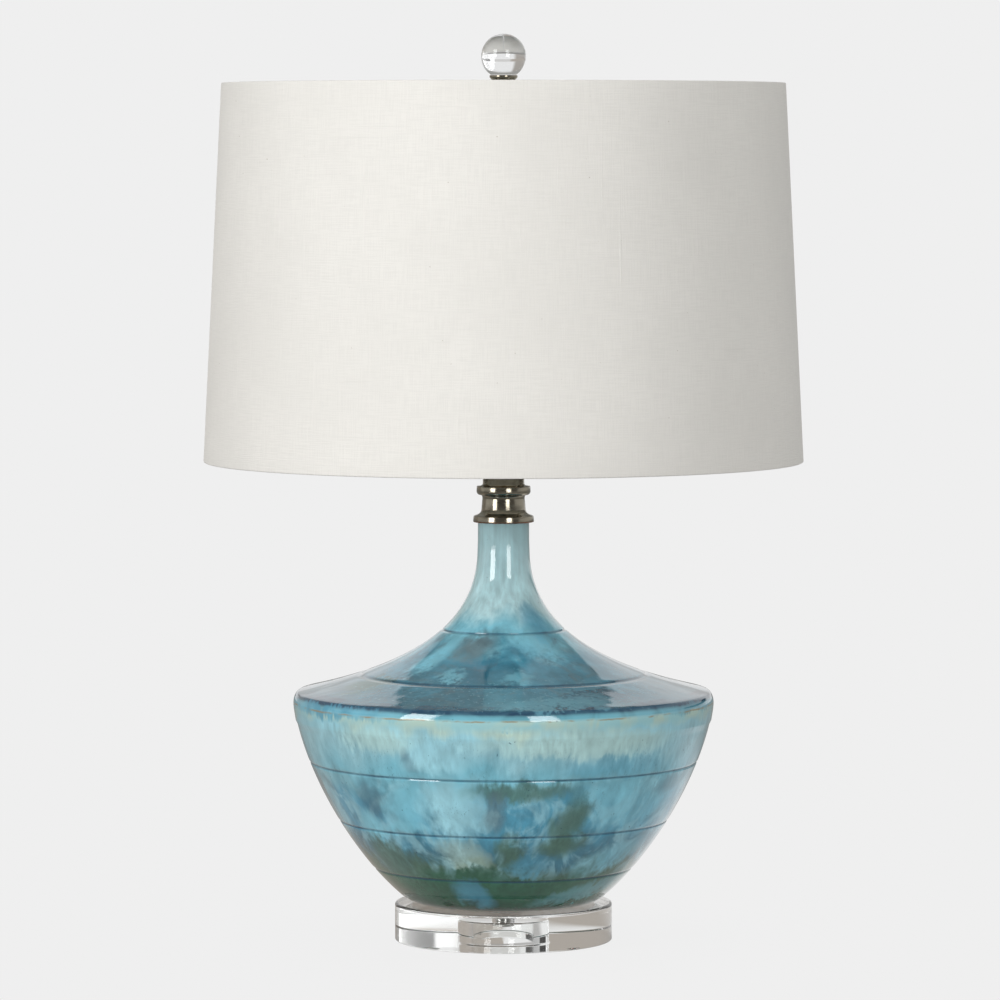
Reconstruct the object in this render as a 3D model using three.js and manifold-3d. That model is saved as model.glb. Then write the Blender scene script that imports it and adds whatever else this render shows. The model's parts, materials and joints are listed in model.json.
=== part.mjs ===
// A table lamp: a turned ceramic vase on a clear acrylic foot, a two-piece nickel neck cap, a rotary
// lamp socket with its bulb, a wire harp, a drum shade hung from a spider, and a ball finial.
// Millimetres, +Z up. The origin is the middle of the lamp's footprint, on the surface it stands on.
import * as THREE from "three";
import { mergeVertices } from "three/addons/utils/BufferGeometryUtils.js";
import Module from "manifold-3d";

const wasm = await Module();
wasm.setup();

// Driving dimensions. Radii are measured from the lamp's own axis, heights from the table.
const FINE = 48; // sides of the shade and of the foot
const MIDDLE = 24; // sides of the neck cap and of the finial
const COARSE = 16; // sides of a small turned piece
const GAP = 0.3; // clearance between pieces that fit into each other

const pad = { radius: 5, height: 1.2, circle: 62, count: 4 };
const foot = { radius: 73.9, bottom: 1.2, top: 26.6, bevel: 1.6, recess: 20.7, ceiling: 16.9 };
const rod = { radius: 4.85, bore: 3.2, bottom: 12, top: 326, hole: 5.2 };
const vase = { base: 27.5, foot: 55, rim: 290.2, neck: 17.4, wall: 6, neckWall: 4 };
const inlet = { height: 46, hole: 4.75, bore: 3.3 };
const cap = { bottom: 285.8, top: 304.1 };
const ring = { bottom: 304.4, top: 315.4 };
const saddle = { bottom: 315.6, thick: 1.5, halfWidth: 8, ear: 26.2, earWidth: 4.4, top: 334 };
const socket = { nut: 317.4, cap: 321, shell: 337, top: 386, radius: 16.8, knob: 352 };
const bulb = { eyelet: 356.4, thread: 360.2, shoulder: 382, radius: 30, globe: 436, glass: 1.2 };
const harp = { wire: 2, leg: 30, bottom: 318.6, bend: 352, widest: 62, waist: 452, top: 562 };
const shade = { bottom: 327.2, top: 583, bottomRadius: 203.2, topRadius: 190.5, cloth: 0.7, wire: 1.6 };
const spider = { bottom: 568.9, thick: 1.8, washer: 13, arms: 3 };
const finial = { bottom: 571.2, cup: 588.2, ball: 15.2, centre: 600.9, flat: 588.5 };

const COLOURS = {
  acrylic: { color: 0xe6e9e8, roughness: 0.04, metalness: 0, transparent: true, opacity: 0.35 },
  glaze: { color: 0x4f8f9b, roughness: 0.12, metalness: 0 },
  nickel: { color: 0x77746a, roughness: 0.28, metalness: 1 },
  steel: { color: 0xa9aaac, roughness: 0.4, metalness: 1 },
  brass: { color: 0xb8924a, roughness: 0.35, metalness: 1 },
  linen: { color: 0xe9e5da, roughness: 0.9, metalness: 0 },
  styrene: { color: 0xf4f2ec, roughness: 0.5, metalness: 0 },
  crystal: { color: 0xf2f5f4, roughness: 0.02, metalness: 0, transparent: true, opacity: 0.35 },
  opal: { color: 0xf6f5f0, roughness: 0.35, metalness: 0 },
  phenolic: { color: 0x1c1b1a, roughness: 0.5, metalness: 0 },
  fibre: { color: 0x8d7f66, roughness: 0.8, metalness: 0 },
  rubber: { color: 0xd9d8d2, roughness: 0.7, metalness: 0 },
};

const lamp = new THREE.Group();

// Puts one named piece into the lamp, or into a group that is already placed.
function piece(name, geometry, finish, parent = lamp) {
  geometry.computeVertexNormals();
  const mesh = new THREE.Mesh(geometry, new THREE.MeshStandardMaterial(COLOURS[finish]));
  mesh.name = name;
  parent.add(mesh);
  return mesh;
}

// A solid of revolution about Z. The outline is [radius, height] pairs, counter-clockwise with the
// axis on the left; one that never meets the axis closes on itself and leaves a bore.
function turned(outline, sides = COARSE) {
  const points = outline.map(([radius, height]) => new THREE.Vector2(radius, height));
  if (points[0].x > 0) points.push(points[0].clone());
  return new THREE.LatheGeometry(points, sides).rotateX(Math.PI / 2);
}

// A plain ring or tube between two radii and two heights.
function tube(inner, outer, bottom, top, sides = COARSE) {
  return turned([[inner, bottom], [outer, bottom], [outer, top], [inner, top]], sides);
}

// A round bar from one point to another.
function bar(radius, from, to, sides = COARSE) {
  const start = new THREE.Vector3(...from);
  const reach = new THREE.Vector3(...to).sub(start);
  const turn = new THREE.Quaternion().setFromUnitVectors(
    new THREE.Vector3(0, 1, 0), reach.clone().normalize());
  return new THREE.CylinderGeometry(radius, radius, reach.length(), sides)
    .applyQuaternion(turn)
    .translate(...start.addScaledVector(reach, 0.5));
}

// A round wire that follows a curve.
function wire(curve, radius, steps, sides = 8) {
  const section = new THREE.Shape().absarc(0, 0, radius, 0, 2 * Math.PI);
  const outline = new THREE.Shape(section.getSpacedPoints(sides).slice(0, sides));
  return new THREE.ExtrudeGeometry(outline, { steps, bevelEnabled: false, extrudePath: curve });
}

function solidOf(geometry) {
  const bare = geometry.clone();
  bare.deleteAttribute("normal");
  bare.deleteAttribute("uv");
  const merged = mergeVertices(bare, 1e-4);
  return new wasm.Manifold(new wasm.Mesh({
    numProp: 3,
    vertProperties: merged.attributes.position.array,
    triVerts: new Uint32Array(merged.index.array),
  }));
}

function geometryOf(solid) {
  const mesh = solid.getMesh();
  return new THREE.BufferGeometry()
    .setAttribute("position", new THREE.BufferAttribute(mesh.vertProperties, 3))
    .setIndex(new THREE.BufferAttribute(mesh.triVerts, 1));
}

function cut(body, ...tools) {
  return geometryOf(tools.reduce((left, tool) => left.subtract(solidOf(tool)), solidOf(body)));
}

function join(...pieces) {
  return geometryOf(pieces.map(solidOf).reduce((whole, next) => whole.add(next)));
}

// A hexagonal nut on the axis, bored for the rod.
function hexNut(acrossFlats, bottom, top) {
  const corner = acrossFlats / Math.sqrt(3);
  const blank = turned([[0, bottom], [corner, bottom], [corner, top], [0, top]], 6);
  return cut(blank, bar(rod.hole, [0, 0, bottom - 1], [0, 0, top + 1]));
}

// ---------------------------------------------------------------- foot and rod

function addFoot() {
  piece("acrylic_foot", turned([
    [foot.recess, foot.bottom],
    [foot.radius - 1, foot.bottom],
    [foot.radius, foot.bottom + 1],
    [foot.radius, foot.top - foot.bevel],
    [foot.radius - foot.bevel, foot.top],
    [rod.hole, foot.top],
    [rod.hole, foot.ceiling],
    [foot.recess, foot.ceiling],
  ], FINE), "acrylic");
  for (let i = 0; i < pad.count; i++) {
    const angle = ((i + 0.5) / pad.count) * 2 * Math.PI;
    const button = new THREE.CylinderGeometry(pad.radius, pad.radius, pad.height, 12)
      .rotateX(Math.PI / 2)
      .translate(pad.circle * Math.cos(angle), pad.circle * Math.sin(angle), pad.height / 2);
    piece(`foot_pad_${i + 1}`, button, "rubber");
  }
  piece("seat_gasket", tube(32, 50, foot.top + 0.1, vase.base - 0.1, MIDDLE), "rubber");
}

function addRod() {
  piece("threaded_rod", tube(rod.bore, rod.radius, rod.bottom, rod.top), "steel");
  piece("base_washer", tube(rod.hole, 14, foot.ceiling - 1.1, foot.ceiling - 0.1), "steel");
  piece("base_nut", hexNut(14, foot.ceiling - 4.4, foot.ceiling - 1.2), "steel");
}

// ---------------------------------------------------------------- vase

const belly = new THREE.CubicBezierCurve(
  new THREE.Vector2(68.5, 31.5), new THREE.Vector2(103.7, 60.9),
  new THREE.Vector2(137, 119.4), new THREE.Vector2(142.8, 164));
const crease = new THREE.QuadraticBezierCurve(
  new THREE.Vector2(142.8, 164), new THREE.Vector2(143.6, 170.1), new THREE.Vector2(139.5, 171));
const neck = new THREE.CubicBezierCurve(
  new THREE.Vector2(139.5, 171), new THREE.Vector2(73.4, 186.2),
  new THREE.Vector2(21.2, 210.2), new THREE.Vector2(vase.neck + 0.4, 262));

// Points along a stretch of a profile curve, moved inwards by the wall's thickness.
function along(curve, from, to, count, wall = 0) {
  return Array.from({ length: count }, (_, i) => {
    const u = THREE.MathUtils.lerp(from, to, i / (count - 1));
    const point = curve.getPointAt(u);
    const tangent = curve.getTangentAt(u);
    return [point.x - tangent.y * wall, point.y + tangent.x * wall];
  });
}

// The height's own place on the belly: the point and the outward direction of the surface there.
function bellyAt(height) {
  const steps = Array.from({ length: 201 }, (_, i) => i / 200);
  const u = steps.find((step) => belly.getPointAt(step).y >= height);
  const tangent = belly.getTangentAt(u);
  return { point: belly.getPointAt(u), outward: new THREE.Vector2(tangent.y, -tangent.x) };
}

function addVase() {
  const { point, outward } = bellyAt(inlet.height);
  const out = (distance) => [0, point.x + outward.x * distance, point.y + outward.y * distance];
  const body = turned([
    [9, vase.base],
    [vase.foot, vase.base],
    [60, 28.3],
    ...along(belly, 0, 1, 9),
    ...along(crease, 0.35, 1, 3),
    ...along(neck, 0.08, 1, 10),
    [vase.neck, 272],
    [vase.neck, vase.rim],
    [vase.neck - vase.neckWall, vase.rim],
    [vase.neck - vase.neckWall, 262],
    ...along(neck, 0.06, 0.9, 6, vase.neckWall + 1).reverse(),
    ...along(belly, 0.04, 0.94, 5, vase.wall).reverse(),
    [54, vase.base + vase.wall],
    [9, vase.base + vase.wall],
  ], 36);
  piece("ceramic_vase", cut(body, bar(inlet.hole, out(-12), out(8), 12)), "glaze");

  // The grommet sits square to the glazed wall, at the back.
  const grommet = new THREE.Group();
  grommet.position.set(...out(0));
  grommet.rotation.x = -(Math.PI / 2 - Math.atan2(outward.y, outward.x));
  lamp.add(grommet);
  piece("cord_grommet", turned([
    [inlet.bore, -9], [5.3, -9], [5.3, -7.6], [inlet.hole - GAP, -7.6], [inlet.hole - GAP, 0.4],
    [7, 0.4], [6.4, 2.4], [inlet.bore, 2.4],
  ], 12), "phenolic", grommet);

  piece("neck_bushing", tube(rod.hole, 13.1, 278, vase.rim - 0.4), "rubber");
}

// ---------------------------------------------------------------- neck cap

function addNeckCap() {
  piece("vase_cap", turned([
    [18, cap.bottom],
    [19.9, cap.bottom],
    [20.5, 286.7],
    [20.4, 288.3],
    [19.5, 289.8],
    [17.4, 292.2],
    [15.5, 294.9],
    [14.3, 298.4],
    [14.2, 300.4],
    [15, 302.6],
    [15.7, cap.top],
    [rod.hole, cap.top],
    [rod.hole, vase.rim + GAP],
    [18, vase.rim + GAP],
  ], MIDDLE), "nickel");
  piece("check_ring", turned([
    [rod.hole, ring.bottom],
    [14.3, ring.bottom],
    [16.7, 306.1],
    [18.3, 307.3],
    [18.6, 308.5],
    [18.2, 309.7],
    [15.4, 310.2],
    [14.3, 311.5],
    [13.8, 313.7],
    [13.6, ring.top],
    [rod.hole, ring.top],
  ], MIDDLE), "nickel");
}

// ---------------------------------------------------------------- saddle, socket and switch

function addSaddle() {
  const { bottom, thick, halfWidth, ear, earWidth } = saddle;
  const plate = new THREE.BoxGeometry(2 * ear + 2 * thick, 2 * halfWidth, thick)
    .translate(0, 0, bottom + thick / 2);
  const ears = [-1, 1].map((side) =>
    new THREE.BoxGeometry(thick, earWidth, saddle.top - bottom)
      .translate(side * (ear + thick / 2), 0, (saddle.top + bottom) / 2));
  // The plate narrows to the ears' width outside the ferrules' seats.
  const corners = [-1, 1].flatMap((x) => [-1, 1].map((y) =>
    new THREE.BoxGeometry(12, halfWidth, 4)
      .translate(x * (ear + thick - 2), y * (earWidth / 2 + halfWidth / 2), bottom)));
  piece("harp_saddle",
    cut(join(plate, ...ears), bar(rod.hole, [0, 0, bottom - 3], [0, 0, bottom + 5]), ...corners),
    "nickel");
  piece("saddle_nut", hexNut(14, socket.nut, socket.cap - 0.4), "steel");
}

function addSocket() {
  const { radius } = socket;
  const hubScrew = 323.4;
  const knobHole = bar(2.4, [0, -10, socket.knob], [0, -22, socket.knob], 12);
  piece("socket_cap", cut(turned([
    [rod.hole, socket.cap],
    [8.6, socket.cap],
    [8.6, 326],
    [14.5, 328.5],
    [radius + 0.9, 333],
    [radius + 0.9, 343],
    [radius + 0.2, 343],
    [radius + 0.2, 333.6],
    [14, 329.6],
    [rod.hole, 327.4],
  ]), bar(1.7, [0, 4, hubScrew], [0, 12, hubScrew], 10)), "brass");
  piece("socket_set_screw", bar(1.4, [0, 5.4, hubScrew], [0, 9.4, hubScrew], 10), "steel");
  piece("socket_shell", cut(turned([
    [radius - 0.6, socket.shell],
    [radius - 0.1, socket.shell],
    [radius - 0.1, socket.top - 2.4],
    [radius + 0.7, socket.top - 1.2],
    [radius - 0.1, socket.top],
    [radius - 0.6, socket.top],
  ]), knobHole), "brass");
  piece("socket_liner",
    cut(tube(radius - 1.6, radius - 0.9, socket.shell + 4, socket.top - 1), knobHole), "fibre");

  const screwHoles = [-1, 1].map((side) => bar(2.2, [side * 8, 0, 345], [side * 15, 0, 345], 12));
  piece("socket_core", cut(turned([
    [0, 333], [9, 333], [13.8, 338], [13.8, 353.6], [0, 353.6],
  ]), ...screwHoles), "phenolic");
  [-1, 1].forEach((side, i) => piece(`terminal_screw_${i + 1}`,
    bar(1.9, [side * 8.3, 0, 345], [side * 14.6, 0, 345], 12), i ? "steel" : "brass"));
  piece("centre_contact", turned([[0, 353.9], [4, 353.9], [3, 355.8], [0, 356.1]], 12), "brass");
  piece("screw_shell", tube(13.4, 13.9, 354.2, 381), "brass");
}

function addSwitchKnob() {
  const knob = new THREE.Group();
  knob.position.set(0, 0, socket.knob);
  knob.rotation.x = Math.PI / 2; // the knob's own +Z points at the lamp's front, -Y
  lamp.add(knob);
  piece("switch_stem", turned([[0, 14.2], [2, 14.2], [2, 33], [0, 33]], 12), "brass", knob);
  piece("switch_knob", turned([
    [2.2, 20], [4.6, 20], [5.4, 21], [5.4, 32.5], [4.4, 34.5], [0, 34.5], [0, 33.3], [2.2, 33.3],
  ], 16), "phenolic", knob);
}

// ---------------------------------------------------------------- bulb

function addBulb() {
  const { eyelet, thread, shoulder, radius, globe, glass } = bulb;
  piece("bulb_eyelet", turned([[0, eyelet], [4.4, eyelet + 0.6], [4.4, 357.4], [0, 357.4]], 16),
    "brass");
  piece("bulb_insulator",
    turned([[0, 357.5], [8, 357.5], [11.6, thread - 0.1], [0, thread - 0.1]], 16), "phenolic");
  piece("bulb_base", turned([
    [0, thread], [12.4, thread], [12.9, thread + 1.5], [12.9, shoulder - 0.6],
    [12.2, shoulder - 0.6], [12.2, thread + 0.8], [0, thread + 0.8],
  ]), "steel");
  const dome = (size) => new THREE.EllipseCurve(0, globe, size, size, -Math.PI / 5, Math.PI / 2)
    .getPoints(8).map((point) => [Math.max(point.x, 0), point.y]);
  piece("bulb_globe", turned([
    [11.6, shoulder - 0.4], [13.2, shoulder - 0.4], [14.2, 388], [18, 402], ...dome(radius),
    ...dome(radius - glass).reverse(), [16.6, 402], [12.7, 388],
  ]), "opal");
}

// ---------------------------------------------------------------- harp

function addHarp() {
  const { leg, bottom, bend, widest, waist, top } = harp;
  const at = (x, z) => new THREE.Vector3(x, 0, z);
  const path = new THREE.CurvePath();
  const half = (side) => [
    new THREE.LineCurve3(at(side * leg, bottom), at(side * leg, bend)),
    new THREE.CubicBezierCurve3(at(side * leg, bend), at(side * leg, bend + 32),
      at(side * widest, waist - 45), at(side * widest, waist)),
    new THREE.CubicBezierCurve3(at(side * widest, waist), at(side * widest, waist + 62),
      at(side * 34, top), at(side * 10, top)),
  ];
  const right = half(1);
  const left = half(-1).reverse().map((curve) => curve.clone());
  left.forEach((curve) => {
    if (curve.v3) [curve.v0, curve.v1, curve.v2, curve.v3] =
      [curve.v3, curve.v2, curve.v1, curve.v0];
    else [curve.v1, curve.v2] = [curve.v2, curve.v1];
  });
  [...right, new THREE.LineCurve3(at(10, top), at(-10, top)), ...left]
    .forEach((curve) => path.add(curve));
  piece("harp_wire", wire(path, harp.wire, 48), "nickel");

  piece("harp_stud", cut(turned([
    [0, top - 4], [5.6, top - 4], [6, top - 3], [6, top + 4.6], [8.5, top + 5], [8.5, top + 6.6],
    [3.05, top + 6.6], [3.05, 582], [2.4, 583], [0, 583],
  ]), bar(harp.wire + GAP, [-12, 0, top], [12, 0, top], 12)), "nickel");

  [-1, 1].forEach((side) => {
    const sleeve = tube(4, 4.9, 317.9, 332.5, 16).translate(side * (leg - 0.8), 0, 0);
    piece(side < 0 ? "harp_ferrule_left" : "harp_ferrule_right", sleeve, "nickel");
  });
}

// ---------------------------------------------------------------- shade

// The shade's outer radius at a height: it is a straight cone between its two rings.
function shadeRadius(height) {
  const { bottom, top, bottomRadius, topRadius } = shade;
  return bottomRadius + ((topRadius - bottomRadius) * (height - bottom)) / (top - bottom);
}

// A wire hoop about the lamp's axis.
function hoop(radius, height, thick, sides) {
  return new THREE.TorusGeometry(radius, thick, 6, sides).translate(0, 0, height);
}

function addShade() {
  const { bottom, top, cloth } = shade;
  const hem = 5.6;
  const inside = (height, depth) => [shadeRadius(height) - depth, height];
  piece("shade_linen", turned([
    inside(bottom, hem), inside(bottom, 0), inside(top, 0), inside(top, hem),
    inside(top - cloth, hem), inside(top - cloth, cloth),
    inside(bottom + cloth, cloth), inside(bottom + cloth, hem),
  ], FINE), "linen");
  const low = bottom + cloth + GAP;
  const high = top - cloth - GAP;
  piece("shade_liner", turned([
    inside(low, cloth + GAP + 0.6), inside(low, cloth + GAP),
    inside(high, cloth + GAP), inside(high, cloth + GAP + 0.6),
  ], FINE), "styrene");

  const seat = cloth + GAP + 0.6 + GAP + shade.wire;
  const ringDrop = 2.9;
  const ringBottom = bottom + ringDrop;
  piece("bottom_ring",
    hoop(shadeRadius(ringBottom) - seat - 0.4, ringBottom, shade.wire, FINE), "steel");

  const ringTop = top - ringDrop;
  const topHoop = shadeRadius(ringTop) - seat - 0.4;
  const armHeight = spider.bottom + spider.thick / 2 + 0.6;
  const arms = Array.from({ length: spider.arms }, (_, i) => {
    const angle = Math.PI / 2 + (i / spider.arms) * 2 * Math.PI;
    const at = (radius, height) =>
      new THREE.Vector3(radius * Math.cos(angle), radius * Math.sin(angle), height);
    return wire(new THREE.CatmullRomCurve3([
      at(spider.washer - 2.4, armHeight), at(60, armHeight), at(150, armHeight),
      at(174, armHeight + 2.5), at(topHoop, ringTop),
    ]), 1.5, 10, 6);
  });
  const washer = tube(3.6, spider.washer, spider.bottom, spider.bottom + spider.thick, 24);
  piece("spider", join(washer, hoop(topHoop, ringTop, shade.wire, FINE), ...arms), "steel");
}

// ---------------------------------------------------------------- finial

function addFinial() {
  const { bottom, cup, ball, centre, flat } = finial;
  const bore = 4.4;
  piece("finial_insert", tube(3.35, bore - 0.25, bottom, 584, 16), "brass");
  piece("finial_base", turned([
    [bore, bottom], [6.4, bottom], [6.8, 573], [5.9, 576], [6.1, 581], [8, 585], [9.3, 586.6],
    [9.5, cup], [0, cup], [0, 584.3], [bore, 584.3],
  ], MIDDLE), "nickel");
  const lowest = Math.asin((flat - centre) / ball);
  const globe = new THREE.EllipseCurve(0, centre, ball, ball, lowest, Math.PI / 2);
  piece("finial_ball", turned([
    [0, flat], ...globe.getPoints(10).map((point) => [Math.max(point.x, 0), point.y]),
  ], MIDDLE), "crystal");
}

addFoot();
addRod();
addVase();
addNeckCap();
addSaddle();
addSocket();
addSwitchKnob();
addBulb();
addHarp();
addShade();
addFinial();

export default lamp;
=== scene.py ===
"""The finished look of a table lamp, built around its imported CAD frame.

A glazed ceramic vase stands on a clear acrylic foot. A nickel neck cap carries a saddle, a socket with its
bulb, and a harp, and the harp carries a linen drum shade under a clear ball finial. Outlines are in
millimetres, and every mesh is made in metres.
"""

import json
import math

import bmesh
import bpy
from mathutils import Matrix, Vector

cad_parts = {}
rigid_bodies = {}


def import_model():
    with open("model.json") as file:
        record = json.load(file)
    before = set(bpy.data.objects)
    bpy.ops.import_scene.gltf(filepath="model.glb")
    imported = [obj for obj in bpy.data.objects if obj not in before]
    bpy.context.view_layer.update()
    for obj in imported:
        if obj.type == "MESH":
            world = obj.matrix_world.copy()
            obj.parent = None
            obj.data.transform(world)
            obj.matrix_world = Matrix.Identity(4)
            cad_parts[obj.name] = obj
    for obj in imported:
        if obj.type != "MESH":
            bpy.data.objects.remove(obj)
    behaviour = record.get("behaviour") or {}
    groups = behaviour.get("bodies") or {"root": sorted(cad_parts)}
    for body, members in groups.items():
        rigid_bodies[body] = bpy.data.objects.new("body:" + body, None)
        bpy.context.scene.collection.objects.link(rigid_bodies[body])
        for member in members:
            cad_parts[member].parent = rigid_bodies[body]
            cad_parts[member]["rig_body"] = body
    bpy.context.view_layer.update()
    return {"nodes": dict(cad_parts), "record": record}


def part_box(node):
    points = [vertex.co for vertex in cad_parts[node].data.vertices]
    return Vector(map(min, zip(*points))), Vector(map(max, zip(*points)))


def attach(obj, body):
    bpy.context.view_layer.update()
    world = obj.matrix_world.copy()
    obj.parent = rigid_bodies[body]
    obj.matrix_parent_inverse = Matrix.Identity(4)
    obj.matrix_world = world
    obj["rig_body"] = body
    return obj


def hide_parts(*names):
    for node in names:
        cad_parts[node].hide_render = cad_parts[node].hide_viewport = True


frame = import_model()
SLOTS = {part["node"]: part["material_slot"] for part in frame["record"]["subparts"]}

bl_info = {
    "name": "Table Lamp",
    "version": (1, 0, 0),
    "blender": (4, 5, 0),
    "location": "View3D > Sidebar > Lamp",
    "description": "Builds the finished pieces of a table lamp around its CAD frame",
    "category": "Object",
}

MM = 0.001
UP = Vector((0, 0, 1))
# The radius of the holes that the rod passes through, in millimetres.
BORE = 5.2
# The camera's focal length in millimetres, its place in metres, and how far it looks down in degrees.
LENS, EYE, TILT = 200.6, (-0.0024, -3.7731, 0.5434), 3.68
# The linear level of the white paper behind the lamp.
PAPER = 0.863


# ------------------------------------------------------------------ what a user would change


def linear(red, green, blue):
    """A linear colour from display values between 0 and 255."""
    shares = [value / 255 for value in (red, green, blue)]
    return tuple(s / 12.92 if s <= 0.04045 else ((s + 0.055) / 1.055) ** 2.4 for s in shares)


def paint(name, description, *display):
    return bpy.props.FloatVectorProperty(
        name=name, description=description, default=linear(*display),
        subtype="COLOR", size=3, min=0, max=1)


def length(name, description, millimetres):
    return bpy.props.FloatProperty(
        name=name, description=description, default=millimetres * MM,
        subtype="DISTANCE", unit="LENGTH", min=0, precision=5)


def count(name, description, number):
    return bpy.props.IntProperty(name=name, description=description, default=number, min=3)


class LampSizes(bpy.types.PropertyGroup):
    large_sides: count("Large Sides", "Sides of the vase, the foot and the shade", 192)
    middle_sides: count("Middle Sides", "Sides of the socket, the bulb and the finial's cup", 96)
    small_sides: count("Small Sides", "Sides of the small turned pieces", 72)
    wire_sides: count("Wire Sides", "Sides of a wire's section", 14)
    groove_depth: length("Groove Depth", "Depth of the lines scored in the vase", 0.7)
    groove_width: length("Groove Width", "Half width of the lines scored in the vase", 0.75)
    wall: length("Vase Wall", "Thickness of the vase's wall", 6)
    fine_pitch: length("Fine Pitch", "Pitch of the rod's thread, 27 to the inch", 25.4 / 27)
    bulb_pitch: length("Bulb Pitch", "Pitch of the bulb's thread, 7 to the inch", 25.4 / 7)
    shade_top: length("Shade Top", "Radius of the shade's top edge", 190.5)
    cloth: length("Cloth", "Thickness of the shade's cloth", 0.7)
    hem: length("Hem", "Depth of the cloth turned in at the shade's edges", 5.6)
    seam: length("Seam", "Width of the shade's lapped seam", 10)
    floor: length("Floor", "Half width of the floor", 9000)


class LampColours(bpy.types.PropertyGroup):
    mist: paint("Mist", "Pale glaze of the neck", 192, 230, 236)
    aqua: paint("Aqua", "Light glaze in the clouds of the belly", 132, 206, 226)
    sky: paint("Sky", "Pale blue glaze under the crease", 164, 220, 234)
    celadon: paint("Celadon", "Creamy green glaze along the rim", 194, 224, 214)
    blue: paint("Blue", "Middle blue glaze of the belly", 80, 156, 184)
    teal: paint("Teal", "Blue-green glaze of the shoulder", 70, 134, 156)
    navy: paint("Navy", "Glaze pooled in the grooves and the crease", 24, 62, 88)
    olive: paint("Olive", "Brown-green patches", 74, 112, 98)
    umber: paint("Umber", "Grey-brown patches of the shoulder", 92, 116, 124)
    forest: paint("Forest", "Dark green glaze at the vase's foot", 42, 98, 76)
    clay: paint("Clay", "Unglazed clay under the vase", 226, 214, 202)
    ochre: paint("Ochre", "Clay that shows through along the rim", 158, 134, 92)
    linen: paint("Linen", "The shade's cloth", 238, 236, 231)
    nickel: paint("Nickel", "The antique nickel plate", 160, 153, 137)
    copper: paint("Copper", "Copper that shows through the nickel's edges", 150, 92, 62)


def sizes():
    return bpy.context.scene.lamp_sizes


def colours():
    return bpy.context.scene.lamp_colours


# ------------------------------------------------------------------ node trees


class Value:
    """A number in a node tree. Arithmetic on it adds Math nodes to its tree."""

    def __init__(self, graph, socket):
        self.graph, self.socket = graph, socket

    def __add__(self, other):
        return self.graph.math("ADD", self, other)

    def __sub__(self, other):
        return self.graph.math("SUBTRACT", self, other)

    def __rsub__(self, other):
        return self.graph.math("SUBTRACT", other, self)

    def __mul__(self, other):
        return self.graph.math("MULTIPLY", self, other)

    def __truediv__(self, other):
        return self.graph.math("DIVIDE", self, other)

    def __pow__(self, other):
        return self.graph.math("POWER", self, other)

    def __rtruediv__(self, other):
        return self.graph.math("DIVIDE", other, self)

    __radd__, __rmul__ = __add__, __mul__


class Graph:
    """A node tree, with the few ways of adding a node that this lamp's finishes and shapes need."""

    def __init__(self, tree):
        self.tree = tree

    def node(self, kind, settings=None, inputs=None):
        """Adds a node: its type, its settings, and the values or links of its sockets."""
        node = self.tree.nodes.new(kind)
        for name, value in (settings or {}).items():
            if name == "stops":
                self.set_stops(node.color_ramp.elements, value)
            else:
                setattr(node, name, value)
        for name, value in (inputs or {}).items():
            self.feed(node.inputs[name], value)
        return node

    def set_stops(self, elements, stops):
        while len(elements) < len(stops):
            elements.new(0.5)
        for element, (position, shade) in zip(elements, stops):
            element.position = position
            element.color = (*shade, 1)

    def feed(self, socket, value):
        if isinstance(value, Value):
            value = value.socket
        if isinstance(value, bpy.types.NodeSocket):
            self.tree.links.new(value, socket)
        elif socket.type == "RGBA":
            socket.default_value = (*value, 1)
        else:
            socket.default_value = value

    def math(self, operation, *numbers):
        node = self.node("ShaderNodeMath", {"operation": operation}, dict(enumerate(numbers)))
        return Value(self, node.outputs[0])

    def split(self, vector):
        node = self.node("ShaderNodeSeparateXYZ", inputs={0: vector})
        return [Value(self, socket) for socket in node.outputs]

    def vector(self, x, y, z):
        return self.node("ShaderNodeCombineXYZ", inputs={0: x, 1: y, 2: z}).outputs[0]

    def step(self, value, low, high):
        """0 up to low and 1 from high on, with a smooth run between them."""
        node = self.node("ShaderNodeMapRange", {"interpolation_type": "SMOOTHSTEP"},
                         {0: value, 1: low, 2: high})
        return Value(self, node.outputs[0])

    def band(self, value, low, high, soft):
        """1 between low and high and 0 outside them, with soft edges."""
        return self.step(value, low - soft, low + soft) * (1 - self.step(value, high - soft, high + soft))

    def noise(self, vector, scale=1.0, detail=2.0, roughness=0.5, distortion=0.0):
        node = self.node("ShaderNodeTexNoise", inputs={
            "Vector": vector, "Scale": scale, "Detail": detail,
            "Roughness": roughness, "Distortion": distortion})
        return Value(self, node.outputs[0])

    def mix(self, first, second, factor):
        node = self.node("ShaderNodeMix", {"data_type": "RGBA"}, {0: factor, 6: first, 7: second})
        return node.outputs[2]

    def dim(self, shade, brightness):
        """A colour made darker or lighter by a number."""
        node = self.node("ShaderNodeVectorMath", {"operation": "SCALE"}, {0: shade, "Scale": brightness})
        return node.outputs[0]

    def ramp(self, value, stops):
        """A colour from (place, colour) stops, with the places in the value's own unit."""
        low, high = stops[0][0], stops[-1][0]
        shares = [((place - low) / (high - low), shade) for place, shade in stops]
        return self.node("ShaderNodeValToRGB", {"stops": shares},
                         {0: (value - low) / (high - low)}).outputs[0]


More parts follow.
